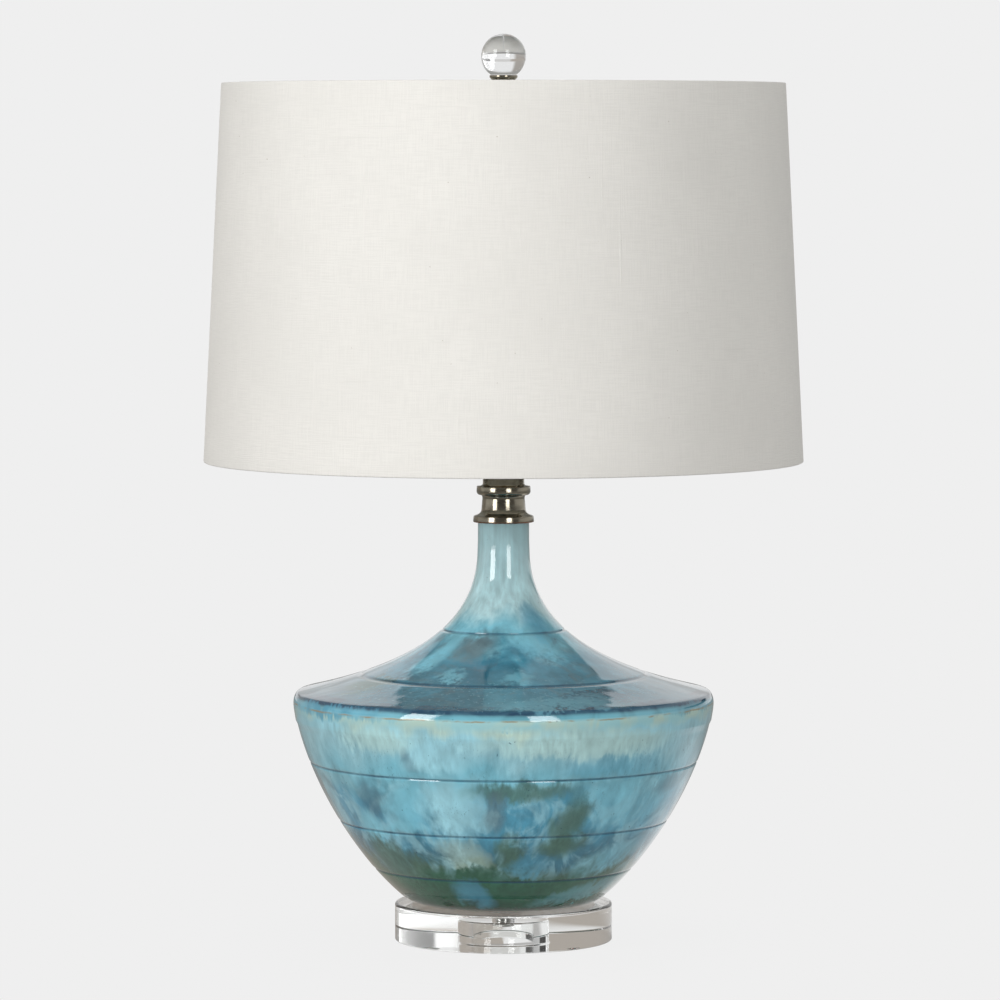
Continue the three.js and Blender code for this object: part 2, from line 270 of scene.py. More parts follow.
class Finish(Graph):
    """A material with one Principled shader."""

    def __init__(self, name, inputs):
        self.material = bpy.data.materials.new(name)
        self.material.use_nodes = True
        super().__init__(self.material.node_tree)
        self.shader = self.tree.nodes["Principled BSDF"]
        for socket, value in inputs.items():
            self.feed(self.shader.inputs[socket], value)
        self.place = self.node("ShaderNodeTexCoord").outputs["Object"]

    def set(self, socket, value):
        self.feed(self.shader.inputs[socket], value)

    def bump(self, height, depth):
        """Raises the surface by the height, a share of the depth in metres."""
        node = self.node("ShaderNodeBump", inputs={"Height": height, "Distance": depth})
        self.set("Normal", node.outputs[0])

    def round_the_axis(self):
        """The turn from the lamp's front in degrees, the distance from its axis, and the height in metres."""
        x, y, z = self.split(self.place)
        turn = self.math("ARCTAN2", x, y * -1) * math.degrees(1)
        return turn, (x * x + y * y) ** 0.5, z


class Shape(Graph):
    """A Geometry Nodes tree with named inputs. Its result becomes a plain mesh."""

    def __init__(self, name, inputs):
        super().__init__(bpy.data.node_groups.new(name, "GeometryNodeTree"))
        self.tree.is_modifier = True
        face = self.tree.interface
        face.new_socket("Geometry", in_out="INPUT", socket_type="NodeSocketGeometry")
        for label, value in inputs.items():
            kind = "NodeSocketInt" if isinstance(value, int) else "NodeSocketFloat"
            face.new_socket(label, in_out="INPUT", socket_type=kind).default_value = value
        face.new_socket("Material", in_out="INPUT", socket_type="NodeSocketMaterial")
        face.new_socket("Geometry", in_out="OUTPUT", socket_type="NodeSocketGeometry")
        self.given = self.node("NodeGroupInput").outputs

    def __getitem__(self, label):
        return Value(self, self.given[label])

    def end(self, geometry):
        real = self.node("GeometryNodeRealizeInstances", inputs={0: geometry}).outputs[0]
        coated = self.node("GeometryNodeSetMaterial", inputs={
            "Geometry": real, "Material": self.given["Material"]}).outputs[0]
        self.node("NodeGroupOutput", inputs={0: coated})

    def run(self, mesh, material, **inputs):
        """The tree's result on a mesh, as a plain mesh."""
        source = add_object("source", mesh)
        modifier = source.modifiers.new("shape", "NODES")
        modifier.node_group = self.tree
        keys = {item.name: item.identifier for item in self.tree.interface.items_tree
                if item.in_out == "INPUT"}
        modifier[keys["Material"]] = material
        for label, value in inputs.items():
            modifier[keys[label.replace("_", " ").capitalize()]] = value
        made = plain_mesh(source)
        source.modifiers.remove(modifier)
        bpy.data.objects.remove(source)
        return made


def kept(make, made={}):
    """What a maker returns, made at its first use."""
    if make not in made:
        made[make] = make()
    return made[make]


# ------------------------------------------------------------------ shapes


def turning():
    """Turns an outline about Z.

    An outline's vertex holds the radius in X, the share of the cut in Y and the height in Z. The cut is a
    screw thread or flutes, and flats are planes round the axis, as on a nut.
    """
    shape = Shape("lamp_turning", {
        "Sides": 72, "Pitch": 1.0, "Thread": 0.0, "Flutes": 12, "Flute": 0.0, "Flats": 6, "Across": 9.0})
    outline, sides = shape.given["Geometry"], shape["Sides"]
    size = shape.node("GeometryNodeAttributeDomainSize", inputs={0: outline}).outputs[0]
    rows = Value(shape, size)
    grid = shape.node("GeometryNodeMeshGrid", inputs={"Vertices X": sides + 1, "Vertices Y": rows})
    index = Value(shape, shape.node("GeometryNodeInputIndex").outputs[0])
    column = shape.math("FLOOR", (index + 0.5) / rows)
    vertex = shape.node("GeometryNodeSampleIndex", {"data_type": "FLOAT_VECTOR"}, {
        "Geometry": outline, "Value": shape.node("GeometryNodeInputPosition").outputs[0],
        "Index": index - column * rows})
    radius, share, height = shape.split(vertex.outputs[0])
    turn = column / sides
    ridge = 1 - shape.math("COSINE", (height / shape["Pitch"] - turn) * math.tau)
    flute = 1 - shape.math("COSINE", turn * shape["Flutes"] * math.tau)
    radius = radius - share * 0.5 * (ridge * shape["Thread"] + flute * shape["Flute"])
    flat = 1 / shape["Flats"]
    angle = shape.math("WRAP", turn, flat * 0.5, flat * -0.5) * math.tau
    radius = shape.math("MINIMUM", radius, shape["Across"] * 0.5 / shape.math("COSINE", angle))
    angle = turn * math.tau
    turned = shape.node("GeometryNodeSetPosition", inputs={
        "Geometry": grid.outputs[0],
        "Position": shape.vector(
            radius * shape.math("COSINE", angle), radius * shape.math("SINE", angle), height)})
    shape.end(shape.node("GeometryNodeMergeByDistance", inputs={
        "Geometry": turned.outputs[0], "Distance": 0.002 * MM}).outputs[0])
    return shape


def wiring():
    """Lays a round wire along the edges of a mesh."""
    shape = Shape("lamp_wiring", {"Radius": 1.0, "Sides": 12})
    path = shape.node("GeometryNodeMeshToCurve", inputs={0: shape.given["Geometry"]}).outputs[0]
    section = shape.node("GeometryNodeCurvePrimitiveCircle", inputs={
        "Resolution": shape["Sides"], "Radius": shape["Radius"]}).outputs[0]
    shape.end(shape.node("GeometryNodeCurveToMesh", inputs={
        "Curve": path, "Profile Curve": section, "Fill Caps": True}).outputs[0])
    return shape


def setting_round():
    """Sets copies of a mesh round the lamp's axis."""
    shape = Shape("lamp_copies", {"Copies": 4})
    points = shape.node("GeometryNodePoints", inputs={"Count": shape["Copies"]}).outputs[0]
    index = Value(shape, shape.node("GeometryNodeInputIndex").outputs[0])
    turn = index * math.tau / shape["Copies"]
    shape.end(shape.node("GeometryNodeInstanceOnPoints", inputs={
        "Points": points, "Instance": shape.given["Geometry"],
        "Rotation": shape.vector(0, 0, turn)}).outputs[0])
    return shape


def add_object(name, mesh):
    made = bpy.data.objects.new(name, mesh)
    bpy.context.scene.collection.objects.link(made)
    return made


def plain_mesh(source):
    """The object's mesh with its modifiers in it."""
    return bpy.data.meshes.new_from_object(source.evaluated_get(bpy.context.evaluated_depsgraph_get()))


def mesh_of(points, edges=(), faces=()):
    mesh = bpy.data.meshes.new("outline")
    mesh.from_pydata([Vector(point) * MM for point in points], edges, faces)
    return mesh


def bezier(start, first, second, end, steps):
    """Points along a cubic curve."""
    points = []
    for step in range(steps + 1):
        t = step / steps
        weights = (1 - t) ** 3, 3 * t * (1 - t) ** 2, 3 * t * t * (1 - t), t ** 3
        points.append([sum(w * p[axis] for w, p in zip(weights, (start, first, second, end)))
                       for axis in range(len(start))])
    return points


def arc(radius, height, first, last, steps):
    """Points [radius, height] on a circle about a point of the axis, between two angles in degrees."""
    angles = [math.radians(first + (last - first) * step / steps) for step in range(steps + 1)]
    return [[max(0, radius * math.cos(angle)), height + radius * math.sin(angle)] for angle in angles]


def rounded(outline, radius, steps=4):
    """An outline with its corners rounded off.

    It closes on itself, unless its first point is on the axis. A point may hold a radius of its own. A
    short straight edge is left beside each corner, so that the shading of a flat face stays flat.
    """
    open_ended = outline[0][0] == 0
    result = []
    for i, (x, z, *own) in enumerate(outline):
        here = Vector((x, z))
        if open_ended and i in (0, len(outline) - 1):
            result.append(here)
            continue
        back, ahead = (Vector(outline[(i + side) % len(outline)][:2]) - here for side in (-1, 1))
        reach = min([own[0] if own else radius, 0.42 * back.length, 0.42 * ahead.length])
        if math.pi - back.angle(ahead) < 0.35 or reach < 0.02:
            result.append(here)
            continue
        back, ahead = back.normalized() * reach, ahead.normalized() * reach
        result.append(here + back * 1.15)
        for step in range(steps + 1):
            t = step / steps
            result.append(here + back * (1 - t) ** 2 + ahead * t * t)
        result.append(here + ahead * 1.15)
    return result


def spaced(outline, spacing):
    """An outline with more points, no further apart than the spacing at their height says."""
    points = [Vector(point) for point in outline]
    if points[0].x > 0:
        points.append(points[0])
    result = []
    for start, end in zip(points, points[1:]):
        middle = (start + end) / 2
        pieces = max(1, math.ceil((end - start).length / spacing(middle)))
        result += [start.lerp(end, i / pieces) for i in range(pieces)]
    return result + [points[-1]]


def seat(node, direction=UP):
    """Where a turned piece starts: the middle of the node's near face, with its +Z along direction."""
    low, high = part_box(node)
    reach = sum(abs(share) * size for share, size in zip(direction, high - low))
    start = (low + high) / 2 - Vector(direction) * reach / 2
    return Matrix.Translation(start) @ UP.rotation_difference(Vector(direction)).to_matrix().to_4x4()


def middle_of(node):
    """The middle of a CAD node's box, in millimetres."""
    low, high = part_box(node)
    return (low + high) / 2 / MM


def turned_mesh(material, outline, place, sides, cut=None, fine=0, **inputs):
    """An outline turned about its axis and set in its place.

    The cut is given by a function that says whether a point of the outline is cut, and fine is the
    distance between the points there.
    """
    cut = cut or (lambda point: False)
    points = spaced(outline, lambda point: fine if cut(point) else 1e9)
    rows = mesh_of([(radius, float(cut(Vector((radius, height)))), height) for radius, height in points])
    made = kept(turning).run(rows, material, Sides=sides, **inputs)
    made.transform(place)
    return made


def shaped(name, mesh, *nodes):
    """A finished piece: it takes the place and the body of CAD nodes."""
    mesh.name = name
    mesh.shade_smooth()
    mesh.set_sharp_from_angle(angle=math.radians(38))
    piece = add_object(name, mesh)
    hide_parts(*nodes)
    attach(piece, frame["nodes"][nodes[0]]["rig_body"])
    SLOTS[nodes[0]]
    return piece


def finish_of(node):
    return kept(FINISHES[SLOTS[node]])


def turned(name, node, outline, place=None, sides=None, **details):
    """A turned piece for a node. Its outline's heights start at the node's near face."""
    mesh = turned_mesh(finish_of(node), outline, place or seat(node), sides or sizes().small_sides, **details)
    return shaped(name, mesh, node)


def thread(spans, least, pitch, depth):
    """The details of a thread that lies within spans of height, outside a radius."""
    return {"cut": lambda point: point.x > least and any(low < point.y < high for low, high in spans),
            "fine": pitch / MM / 8, "pitch": pitch, "thread": depth * MM}


def wire_mesh(material, points, radius, closed=False):
    edges = [(i, i + 1) for i in range(len(points) - 1)]
    if closed:
        edges.append((len(points) - 1, 0))
    return kept(wiring).run(mesh_of(points, edges), material, Radius=radius * MM, Sides=sizes().wire_sides)


def hoop(radius, height):
    """A wire hoop's points about the axis."""
    sides = sizes().large_sides
    angles = [math.tau * i / sides for i in range(sides)]
    return [(radius * math.cos(angle), radius * math.sin(angle), height) for angle in angles]


def joined(*meshes):
    """One mesh that holds several meshes of the same finish."""
    whole = bmesh.new()
    for mesh in meshes:
        whole.from_mesh(mesh)
    made = meshes[0].copy()
    whole.to_mesh(made)
    whole.free()
    return made


def lofted(rings, material):
    """A closed strip through rings of corners that are given in millimetres."""
    strip = bmesh.new()
    rows = [[strip.verts.new(corner * MM) for corner in ring] for ring in rings]
    size = len(rows[0])
    for row, after in zip(rows, rows[1:]):
        for k in range(size):
            strip.faces.new((row[k], row[(k + 1) % size], after[(k + 1) % size], after[k]))
    strip.faces.new(rows[0])
    strip.faces.new(reversed(rows[-1]))
    bmesh.ops.recalc_face_normals(strip, faces=strip.faces)
    mesh = bpy.data.meshes.new("strip")
    strip.to_mesh(mesh)
    strip.free()
    mesh.materials.append(material)
    return mesh


def bar(radius, start, end):
    """A round bar from one point to another, as a tool for cutting. Lengths are in millimetres."""
    tool = bmesh.new()
    reach = Vector(end) - Vector(start)
    turn = UP.rotation_difference(reach).to_matrix().to_4x4()
    middle = Matrix.Translation((Vector(start) + Vector(end)) / 2 * MM)
    bmesh.ops.create_cone(tool, cap_ends=True, segments=36, radius1=radius * MM, radius2=radius * MM,
                          depth=reach.length * MM, matrix=middle @ turn)
    return tool


def block(low, high):
    """A block between two corners, as a tool for cutting. Lengths are in millimetres."""
    tool = bmesh.new()
    size = Vector(high) - Vector(low)
    middle = Matrix.Translation((Vector(low) + Vector(high)) / 2 * MM)
    bmesh.ops.create_cube(tool, size=MM, matrix=middle @ Matrix.Diagonal((*size, 1)))
    return tool


def cut(mesh, *tools):
    """The mesh with the tools' shapes cut out of it."""
    whole = bmesh.new()
    for tool in tools:
        part = bpy.data.meshes.new("tool")
        tool.to_mesh(part)
        tool.free()
        whole.from_mesh(part)
    tool_mesh = bpy.data.meshes.new("tools")
    whole.to_mesh(tool_mesh)
    whole.free()
    body, cutter = add_object("body", mesh), add_object("cutter", tool_mesh)
    modifier = body.modifiers.new("cut", "BOOLEAN")
    modifier.operation = "DIFFERENCE"
    modifier.solver = "EXACT"
    modifier.object = cutter
    made = plain_mesh(body)
    body.modifiers.remove(modifier)
    bpy.data.objects.remove(body)
    bpy.data.objects.remove(cutter)
    return made


# ------------------------------------------------------------------ finishes


def acrylic():
    """Polished clear acrylic, with hair scratches that only its roughness shows."""
    finish = Finish("clear_acrylic", {
        "Base Color": (0.975, 0.985, 0.98), "Transmission Weight": 1, "IOR": 1.49, "Specular IOR Level": 0.5})
    x, y, z = finish.split(finish.place)
    hairs = finish.noise(finish.vector(x * 900, y * 60, z * 300), detail=4)
    finish.set("Roughness", finish.step(hairs, 0.62, 0.8) * 0.05 + 0.006)
    return finish.material


def crystal():
    """Clear crystal glass with faint waves in its polish."""
    finish = Finish("clear_crystal", {
        "Base Color": (0.97, 0.975, 0.98), "Transmission Weight": 1, "IOR": 1.52})
    finish.set("Roughness", finish.noise(finish.place, 260, 3) * 0.012)
    finish.bump(finish.noise(finish.place, 70, 1), 0.00006)
    return finish.material


def clear_rubber():
    """Soft translucent vinyl with a dull bloom."""
    finish = Finish("clear_rubber", {
        "Transmission Weight": 0.55, "IOR": 1.46, "Subsurface Weight": 0.2, "Subsurface Scale": 0.003})
    bloom = finish.noise(finish.place, 420, 4)
    finish.set("Base Color", finish.mix((0.8, 0.8, 0.77), (0.9, 0.9, 0.88), bloom))
    finish.set("Roughness", bloom * 0.25 + 0.25)
    finish.bump(bloom, 0.00008)
    return finish.material


def metal(name, bright, dull, grain, low, high):
    """A finish maker for worn metal: two colours, the scale of its grain, and its roughness."""

    def make():
        finish = Finish(name, {"Metallic": 1})
        wear = finish.noise(finish.place, 140, 5, 0.6)
        fine = finish.noise(finish.place, grain, 3)
        finish.set("Base Color", finish.mix(dull, bright, finish.step(wear, 0.32, 0.62)))
        finish.set("Roughness", fine * (high - low) + low + finish.step(wear, 0.5, 0.3) * 0.12)
        finish.bump(fine, 0.00003)
        return finish.material

    return make


steel = metal("zinc_plated_steel", (0.66, 0.66, 0.64), (0.44, 0.44, 0.42), 1800, 0.2, 0.42)
brass = metal("lacquered_brass", (0.83, 0.6, 0.29), (0.56, 0.37, 0.17), 1400, 0.16, 0.34)


def nickel():
    """Antique nickel, brushed round the axis, with copper showing along its lowest edge."""
    finish = Finish("antique_nickel", {"Metallic": 1})
    turn, radius, height = finish.round_the_axis()
    brushed = finish.vector(radius * 2600, turn * 0.06, height * 4200)
    grain = finish.noise(brushed, 1, 4, 0.65)
    patina = finish.noise(finish.place, 90, 5, 0.6)
    dark = finish.dim(colours().nickel, 0.7)
    plate = finish.mix(colours().nickel, dark, finish.step(patina, 0.42, 0.66))
    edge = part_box("vase_cap")[0].z
    bare = finish.band(height + patina * 0.0008, edge - 0.002, edge + 0.0012, 0.0003)
    finish.set("Base Color", finish.mix(plate, colours().copper, bare * 0.85))
    finish.set("Roughness", grain * 0.1 + patina * 0.06 + 0.06)
    finish.bump(grain, 0.00001)
    return finish.material


def opal_glass():
    """A bulb's white-coated glass."""
    finish = Finish("opal_glass", {"Coat Weight": 0.35, "Coat Roughness": 0.05})
    powder = finish.noise(finish.place, 900, 3)
    finish.set("Base Color", finish.mix((0.86, 0.86, 0.84), (0.93, 0.93, 0.91), powder))
    finish.set("Roughness", powder * 0.1 + 0.24)
    finish.bump(finish.noise(finish.place, 60, 1), 0.00005)
    return finish.material


def phenolic():
    """Brown-black moulded plastic with the flow marks of its filler."""
    finish = Finish("moulded_phenolic", {})
    x, y, z = finish.split(finish.place)
    flow = finish.noise(finish.vector(x * 160, y * 160, z * 60), detail=5, distortion=1.5)
    filler = finish.step(flow, 0.4, 0.75)
    finish.set("Base Color", finish.mix((0.012, 0.01, 0.009), (0.05, 0.036, 0.028), filler))
    finish.set("Roughness", flow * 0.2 + 0.22)
    finish.bump(finish.noise(finish.place, 1500, 2), 0.00002)
    return finish.material


def fibre():
    """Grey-tan pressed fibre board."""
    finish = Finish("pressed_fibre", {})
    x, y, z = finish.split(finish.place)
    strands = finish.noise(finish.vector(x * 700, y * 700, z * 2400), detail=5, distortion=0.8)
    finish.set("Base Color", finish.mix((0.3, 0.24, 0.17), (0.48, 0.42, 0.33), strands))
    finish.set("Roughness", strands * 0.2 + 0.65)
    finish.bump(strands, 0.00015)
    return finish.material


def styrene():
    """The shade's white plastic lining, with a faint pebble."""
    finish = Finish("white_styrene", {})
    pebble = finish.noise(finish.place, 1100, 3)
    cloud = finish.noise(finish.place, 14, 3)
    finish.set("Base Color", finish.mix((0.78, 0.77, 0.74), (0.86, 0.85, 0.82), cloud))
    finish.set("Roughness", pebble * 0.15 + 0.4)
    finish.bump(pebble, 0.00006)
    return finish.material


def linen():
    """Off-white linen: uneven threads both ways, slubs, a few dark flecks and soft mottling."""
    finish = Finish("off_white_linen", {"Sheen Weight": 0.12, "Sheen Roughness": 0.5})
    turn, radius, height = finish.round_the_axis()
    along = turn * (math.radians(1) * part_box("shade_linen")[1].x)

    def threads(across, down, detail=3.0):
        return finish.noise(finish.vector(along * across, height * down, radius * 20), 1, detail)

    warp, weft = threads(1500, 60), threads(60, 1500)
    weave = warp * 0.5 + weft * 0.5
    slubs = finish.step(threads(420, 9), 0.6, 0.78)
    knots = finish.step(threads(14, 420), 0.64, 0.8)
    flecks = finish.step(threads(330, 420, 1), 0.78, 0.84)
    mottle = finish.noise(finish.place, 11, 4, 0.6)
    cloth = finish.mix(finish.dim(colours().linen, 0.955), colours().linen, finish.step(mottle, 0.3, 0.7))
    cloth = finish.mix(cloth, finish.dim(colours().linen, 0.9), finish.step(weave, 0.56, 0.42) * 0.5)
    cloth = finish.mix(cloth, finish.dim(colours().linen, 1.03), slubs * 0.45)
    cloth = finish.mix(cloth, finish.dim(colours().linen, 0.88), knots * 0.3)
    cloth = finish.mix(cloth, (0.3, 0.24, 0.17), flecks * 0.5)
    finish.set("Base Color", cloth)
    finish.set("Roughness", weave * 0.15 + 0.78)
    finish.bump(weave * 0.7 + slubs * 0.35 + knots * 0.25, 0.00035)
    return finish.material


# The glaze's colours up the vase: height in millimetres, colour and its brightness.
GLAZE = (
    (27, "forest", 0.62), (38, "forest", 0.85), (50, "forest", 1.1), (60, "olive", 0.9), (68, "teal", 0.8),
    (84, "blue", 0.95), (106, "blue", 1.05), (116, "aqua", 0.72), (126, "aqua", 0.84), (140, "sky", 0.8),
    (154, "sky", 0.88), (161, "celadon", 0.84), (164.3, "celadon", 0.9), (165.2, "aqua", 0.64),
    (167.4, "aqua", 0.6), (168.4, "navy", 1), (170.4, "navy", 1.3), (172.6, "teal", 0.8),
    (184, "teal", 0.95), (200, "teal", 1.25), (209, "aqua", 0.66), (216, "aqua", 0.9), (228, "mist", 0.92),
    (250, "mist", 1.02), (278, "mist", 0.96), (292, "mist", 0.84),
)
# The lines scored in the vase, at heights in millimetres.
GROOVES = 51.2, 83.8, 123.6, 182.8, 213.0
# Patches in the glaze: degrees round from the front, height, half widths of both, lean, colour and strength.
PATCHES = (
    (-21, 205, 13, 7, 0.1, "umber", 0.9), (-46, 198, 8, 9, 0.35, "aqua", 0.8),
    (24, 205, 16, 8, -0.25, "aqua", 0.55), (37, 220, 15, 11, -0.2, "blue", 0.75),
    (-8, 193, 14, 8, 0.0, "navy", 0.3), (-25, 188, 5, 3, 0.0, "aqua", 0.6),
    (6, 187, 6, 3, 0.0, "aqua", 0.5), (34, 177, 14, 3, 0.0, "navy", 0.6),
    (-60, 180, 10, 4, 0.0, "olive", 0.8), (18, 174, 16, 3, 0.05, "aqua", 0.4),
    (-60, 165, 24, 4, 0.0, "blue", 0.85), (64, 166, 16, 3, 0.0, "teal", 0.6),
    (-27, 137, 2.4, 9, -0.25, "navy", 0.5), (-23, 142, 4, 9, -0.25, "sky", 0.8),
    (-38, 150, 12, 9, 0.0, "celadon", 0.5), (22, 148, 26, 9, 0.0, "celadon", 0.55),
    (-20, 134, 8, 6, 0.1, "sky", 0.6), (33, 113, 10, 8, 0.2, "aqua", 0.65),
    (34, 131, 16, 7, 0.0, "blue", 0.45),
    (4, 116, 15, 6, 0.0, "olive", 0.8), (-3, 102, 4, 13, 0.0, "umber", 0.7),
    (-44, 108, 6, 14, 0.6, "navy", 0.5), (-31, 104, 7, 14, 0.5, "aqua", 0.8),
    (-16, 103, 9, 18, -0.35, "sky", 0.85), (-50, 86, 6, 11, 0.2, "aqua", 0.85),
    (48, 104, 18, 15, 0.1, "aqua", 0.55), (60, 116, 8, 6, 0.3, "navy", 0.4),
    (22, 95, 5, 16, 0.5, "olive", 0.9), (21, 77, 8, 8, 0.3, "olive", 0.95),
    (2, 73, 4.5, 11, 0.0, "olive", 0.95), (-47, 64, 11, 14, -0.3, "olive", 0.9),
    (-15, 70, 9, 10, -0.5, "celadon", 0.5), (-11, 57, 11, 5, 0.0, "forest", 0.85),
    (-15, 41, 9, 9, -0.4, "blue", 0.75), (6, 45, 12, 8, 0.0, "forest", 0.8),
    (44, 41, 24, 6, 0.22, "aqua", 0.4), (46, 66, 15, 9, 0.4, "aqua", 0.6),
    (10, 62, 8, 7, 0.0, "blue", 0.7), (-34, 88, 8, 4, 0.3, "aqua", 0.7),
    (104, 112, 16, 10, 0.2, "olive", 0.8), (128, 98, 14, 20, 0.3, "aqua", 0.8),
    (160, 108, 14, 12, 0.0, "navy", 0.5), (-168, 92, 12, 18, -0.4, "sky", 0.8),
    (-140, 112, 16, 8, 0.1, "olive", 0.8), (-112, 100, 16, 18, 0.3, "aqua", 0.8),
    (-84, 110, 12, 14, -0.2, "navy", 0.45), (86, 92, 10, 18, -0.3, "navy", 0.4),
    (118, 202, 16, 8, 0.2, "umber", 0.9), (170, 196, 20, 9, 0.1, "aqua", 0.6),
    (-130, 204, 18, 8, -0.1, "umber", 0.8), (-88, 198, 14, 10, 0.3, "aqua", 0.7),
    (96, 60, 14, 10, 0.2, "olive", 0.8), (150, 66, 16, 9, 0.0, "celadon", 0.6),
    (-150, 60, 18, 10, 0.2, "olive", 0.8), (-100, 68, 14, 10, -0.2, "celadon", 0.5),
    (120, 40, 22, 7, 0.2, "blue", 0.6), (-160, 42, 22, 7, -0.2, "aqua", 0.5),
    (-100, 40, 16, 6, 0.1, "blue", 0.6), (150, 150, 30, 8, 0.0, "celadon", 0.5),
    (-140, 148, 26, 8, 0.0, "blue", 0.4),
)


def glaze():
    """A reactive glaze that ran and pooled: bands by height, broken up by clouds, patches and streaks."""
    finish = Finish("reactive_glaze", {"IOR": 1.52, "Coat Roughness": 0.03})
    turn, _, metres = finish.round_the_axis()
    x, y, _ = finish.split(finish.place)
    height = metres / MM

    def runs(across, down, detail=3.0, distortion=0.0):
        return finish.noise(finish.vector(x * across, y * across, metres * down), 1, detail, 0.55, distortion)

    # The runs are longer down the vase than across it, and they tear each edge into streaks.
    broad = runs(22, 11, 2, 0.5) - 0.5
    torn = runs(80, 48, 4, 0.5) - 0.5
    combed = finish.step(runs(26, 20), 0.4, 0.62)
    streaks = (runs(330, 13, 3) - 0.5) * (combed * 0.75 + 0.1) + (runs(120, 8, 2) - 0.5) * 0.6
    calm = 1 - finish.band(height, 159, 173, 3) * 0.97
    level = height + (broad * 48 + streaks * 9 + torn * 16) * calm
    # The shoulder takes no colour from below its edge, and the belly takes none from above the rim.
    shoulder_edge, rim_edge = 173, 166
    above = finish.step(height, shoulder_edge - 1, shoulder_edge)
    level = finish.math("MAXIMUM", level, above * shoulder_edge)
    above = finish.step(height, rim_edge, rim_edge + 1)
    level = finish.math("MINIMUM", level, above * 200 + rim_edge)
    tones = [(place, tuple(part * share for part in getattr(colours(), name)))
             for place, name, share in GLAZE]
    colour = finish.ramp(level, tones)

    belly = finish.band(height, 56, 124, 8)
    clouds = finish.step(runs(38, 24, 3, 1.4) + streaks * 0.12, 0.42, 0.62)
    colour = finish.mix(colour, finish.dim(colours().sky, 0.94), clouds * belly * 0.6)
    depths = finish.step(runs(34, 24, 3, 1.1) + streaks * 0.16, 0.5, 0.7)
    colour = finish.mix(colour, finish.dim(colours().teal, 0.62), depths * belly * 0.5)
    smoke = finish.step(runs(46, 26, 4, 1.6) + streaks * 0.2, 0.48, 0.7) * finish.band(height, 172, 211, 5)
    colour = finish.mix(colour, colours().umber, smoke * 0.5)

    for place, middle, half_turn, half_height, lean, name, strength in PATCHES:
        u = finish.math("WRAP", turn - place, 180, -180) + broad * 9 + torn * 9
        v = height - middle - u * lean + torn * 10 + streaks * 15
        u, v = u / half_turn, v / half_height
        inside = 1 - finish.step(u * u + v * v, 0.0, 2.1)
        colour = finish.mix(colour, getattr(colours(), name), inside * strength)

    breaks = finish.step(runs(30, 24, 3, 0.8), 0.42, 0.6) * finish.band(height, 158, 168.4, 3)
    colour = finish.mix(colour, colours().aqua, breaks * 0.5)

    # Brush-like washes, hair-fine streaks and freckles.
    wash = 1 + (streaks * 0.75 + torn * 0.55) * calm
    colour = finish.dim(colour, wash)
    hairs = finish.step(runs(1100, 30, 2), 0.58, 0.7) * finish.step(runs(60, 34), 0.48, 0.62)
    colour = finish.mix(colour, colours().navy, hairs * finish.band(height, 96, 150, 10) * 0.35)
    freckles = finish.step(finish.noise(finish.place, 330, 1), 0.765, 0.8)
    colour = finish.mix(colour, colours().navy, freckles * 0.6)
    frost = finish.step(runs(420, 300, 3), 0.6, 0.7)
    colour = finish.mix(colour, colours().sky, frost * finish.band(height, 170, 186, 4) * 0.3)

    # Along the rim the glaze is thin over the clay, and it pools in the crease and the scored lines.
    clay = finish.band(height + torn * 2.4, 163.6, 164.6, 0.4) * finish.step(runs(60, 60), 0.42, 0.58)
    colour = finish.mix(colour, colours().ochre, clay * 0.75)
    for groove in GROOVES:
        pooled = finish.band(height + torn * 0.5, groove - 0.6, groove + 0.6, 0.5)
        colour = finish.mix(colour, colours().navy, pooled * (runs(44, 10) * 1.1 + 0.1))
    bare = finish.step(height, 28.6, 28.2)
    colour = finish.mix(colour, finish.mix(colours().clay, colours().ochre, runs(300, 300) * 0.5), bare)
    finish.set("Base Color", colour)

    finish.set("Coat Weight", (1 - bare) * 0.5)
    finish.set("Roughness", torn * torn * 0.25 + freckles * 0.1 + bare * 0.7 + 0.05)
    finish.bump(runs(22, 16, 2) + streaks * 0.03 + torn * 0.07, 0.0011)
    return finish.material


FINISHES = {
    "acrylic": acrylic, "clear_rubber": clear_rubber, "glaze": glaze, "nickel": nickel, "steel": steel,
    "brass": brass, "linen": linen, "styrene": styrene, "crystal": crystal, "opal_glass": opal_glass,
    "phenolic": phenolic, "fibre": fibre,
}


# ------------------------------------------------------------------ foot and rod


class BuildFoot(bpy.types.Operator):
    """Turns the clear foot, its pads and the gasket that the vase sits on"""

    bl_idname = "lamp.build_foot"
    bl_label = "Foot"

    def execute(self, context):
        large = sizes().large_sides
        turned("foot_disc", "acrylic_foot", rounded([
            (20.7, 0), (73.9, 0), (73.9, 25.4, 1.8), (BORE, 25.4, 0.3), (BORE, 15.7, 0.3), (20.7, 15.7, 1.2),
        ], 0.8), sides=large)
        gasket = rounded([(32, 0), (50, 0), (50, 0.7), (32, 0.7)], 0.25)
        turned("seat_ring", "seat_gasket", gasket, sides=large)
        pads = [f"foot_pad_{i}" for i in (1, 2, 3, 4)]
        rubber = finish_of(pads[0])
        button = turned_mesh(rubber, rounded([(0, 0), (4.6, 0, 0.7), (5, 1.2, 0.2), (0, 1.2)], 0.5),
                             seat(pads[0]), 48)
        shaped("foot_buttons", kept(setting_round).run(button, rubber, Copies=len(pads)), *pads)
        return {"FINISHED"}


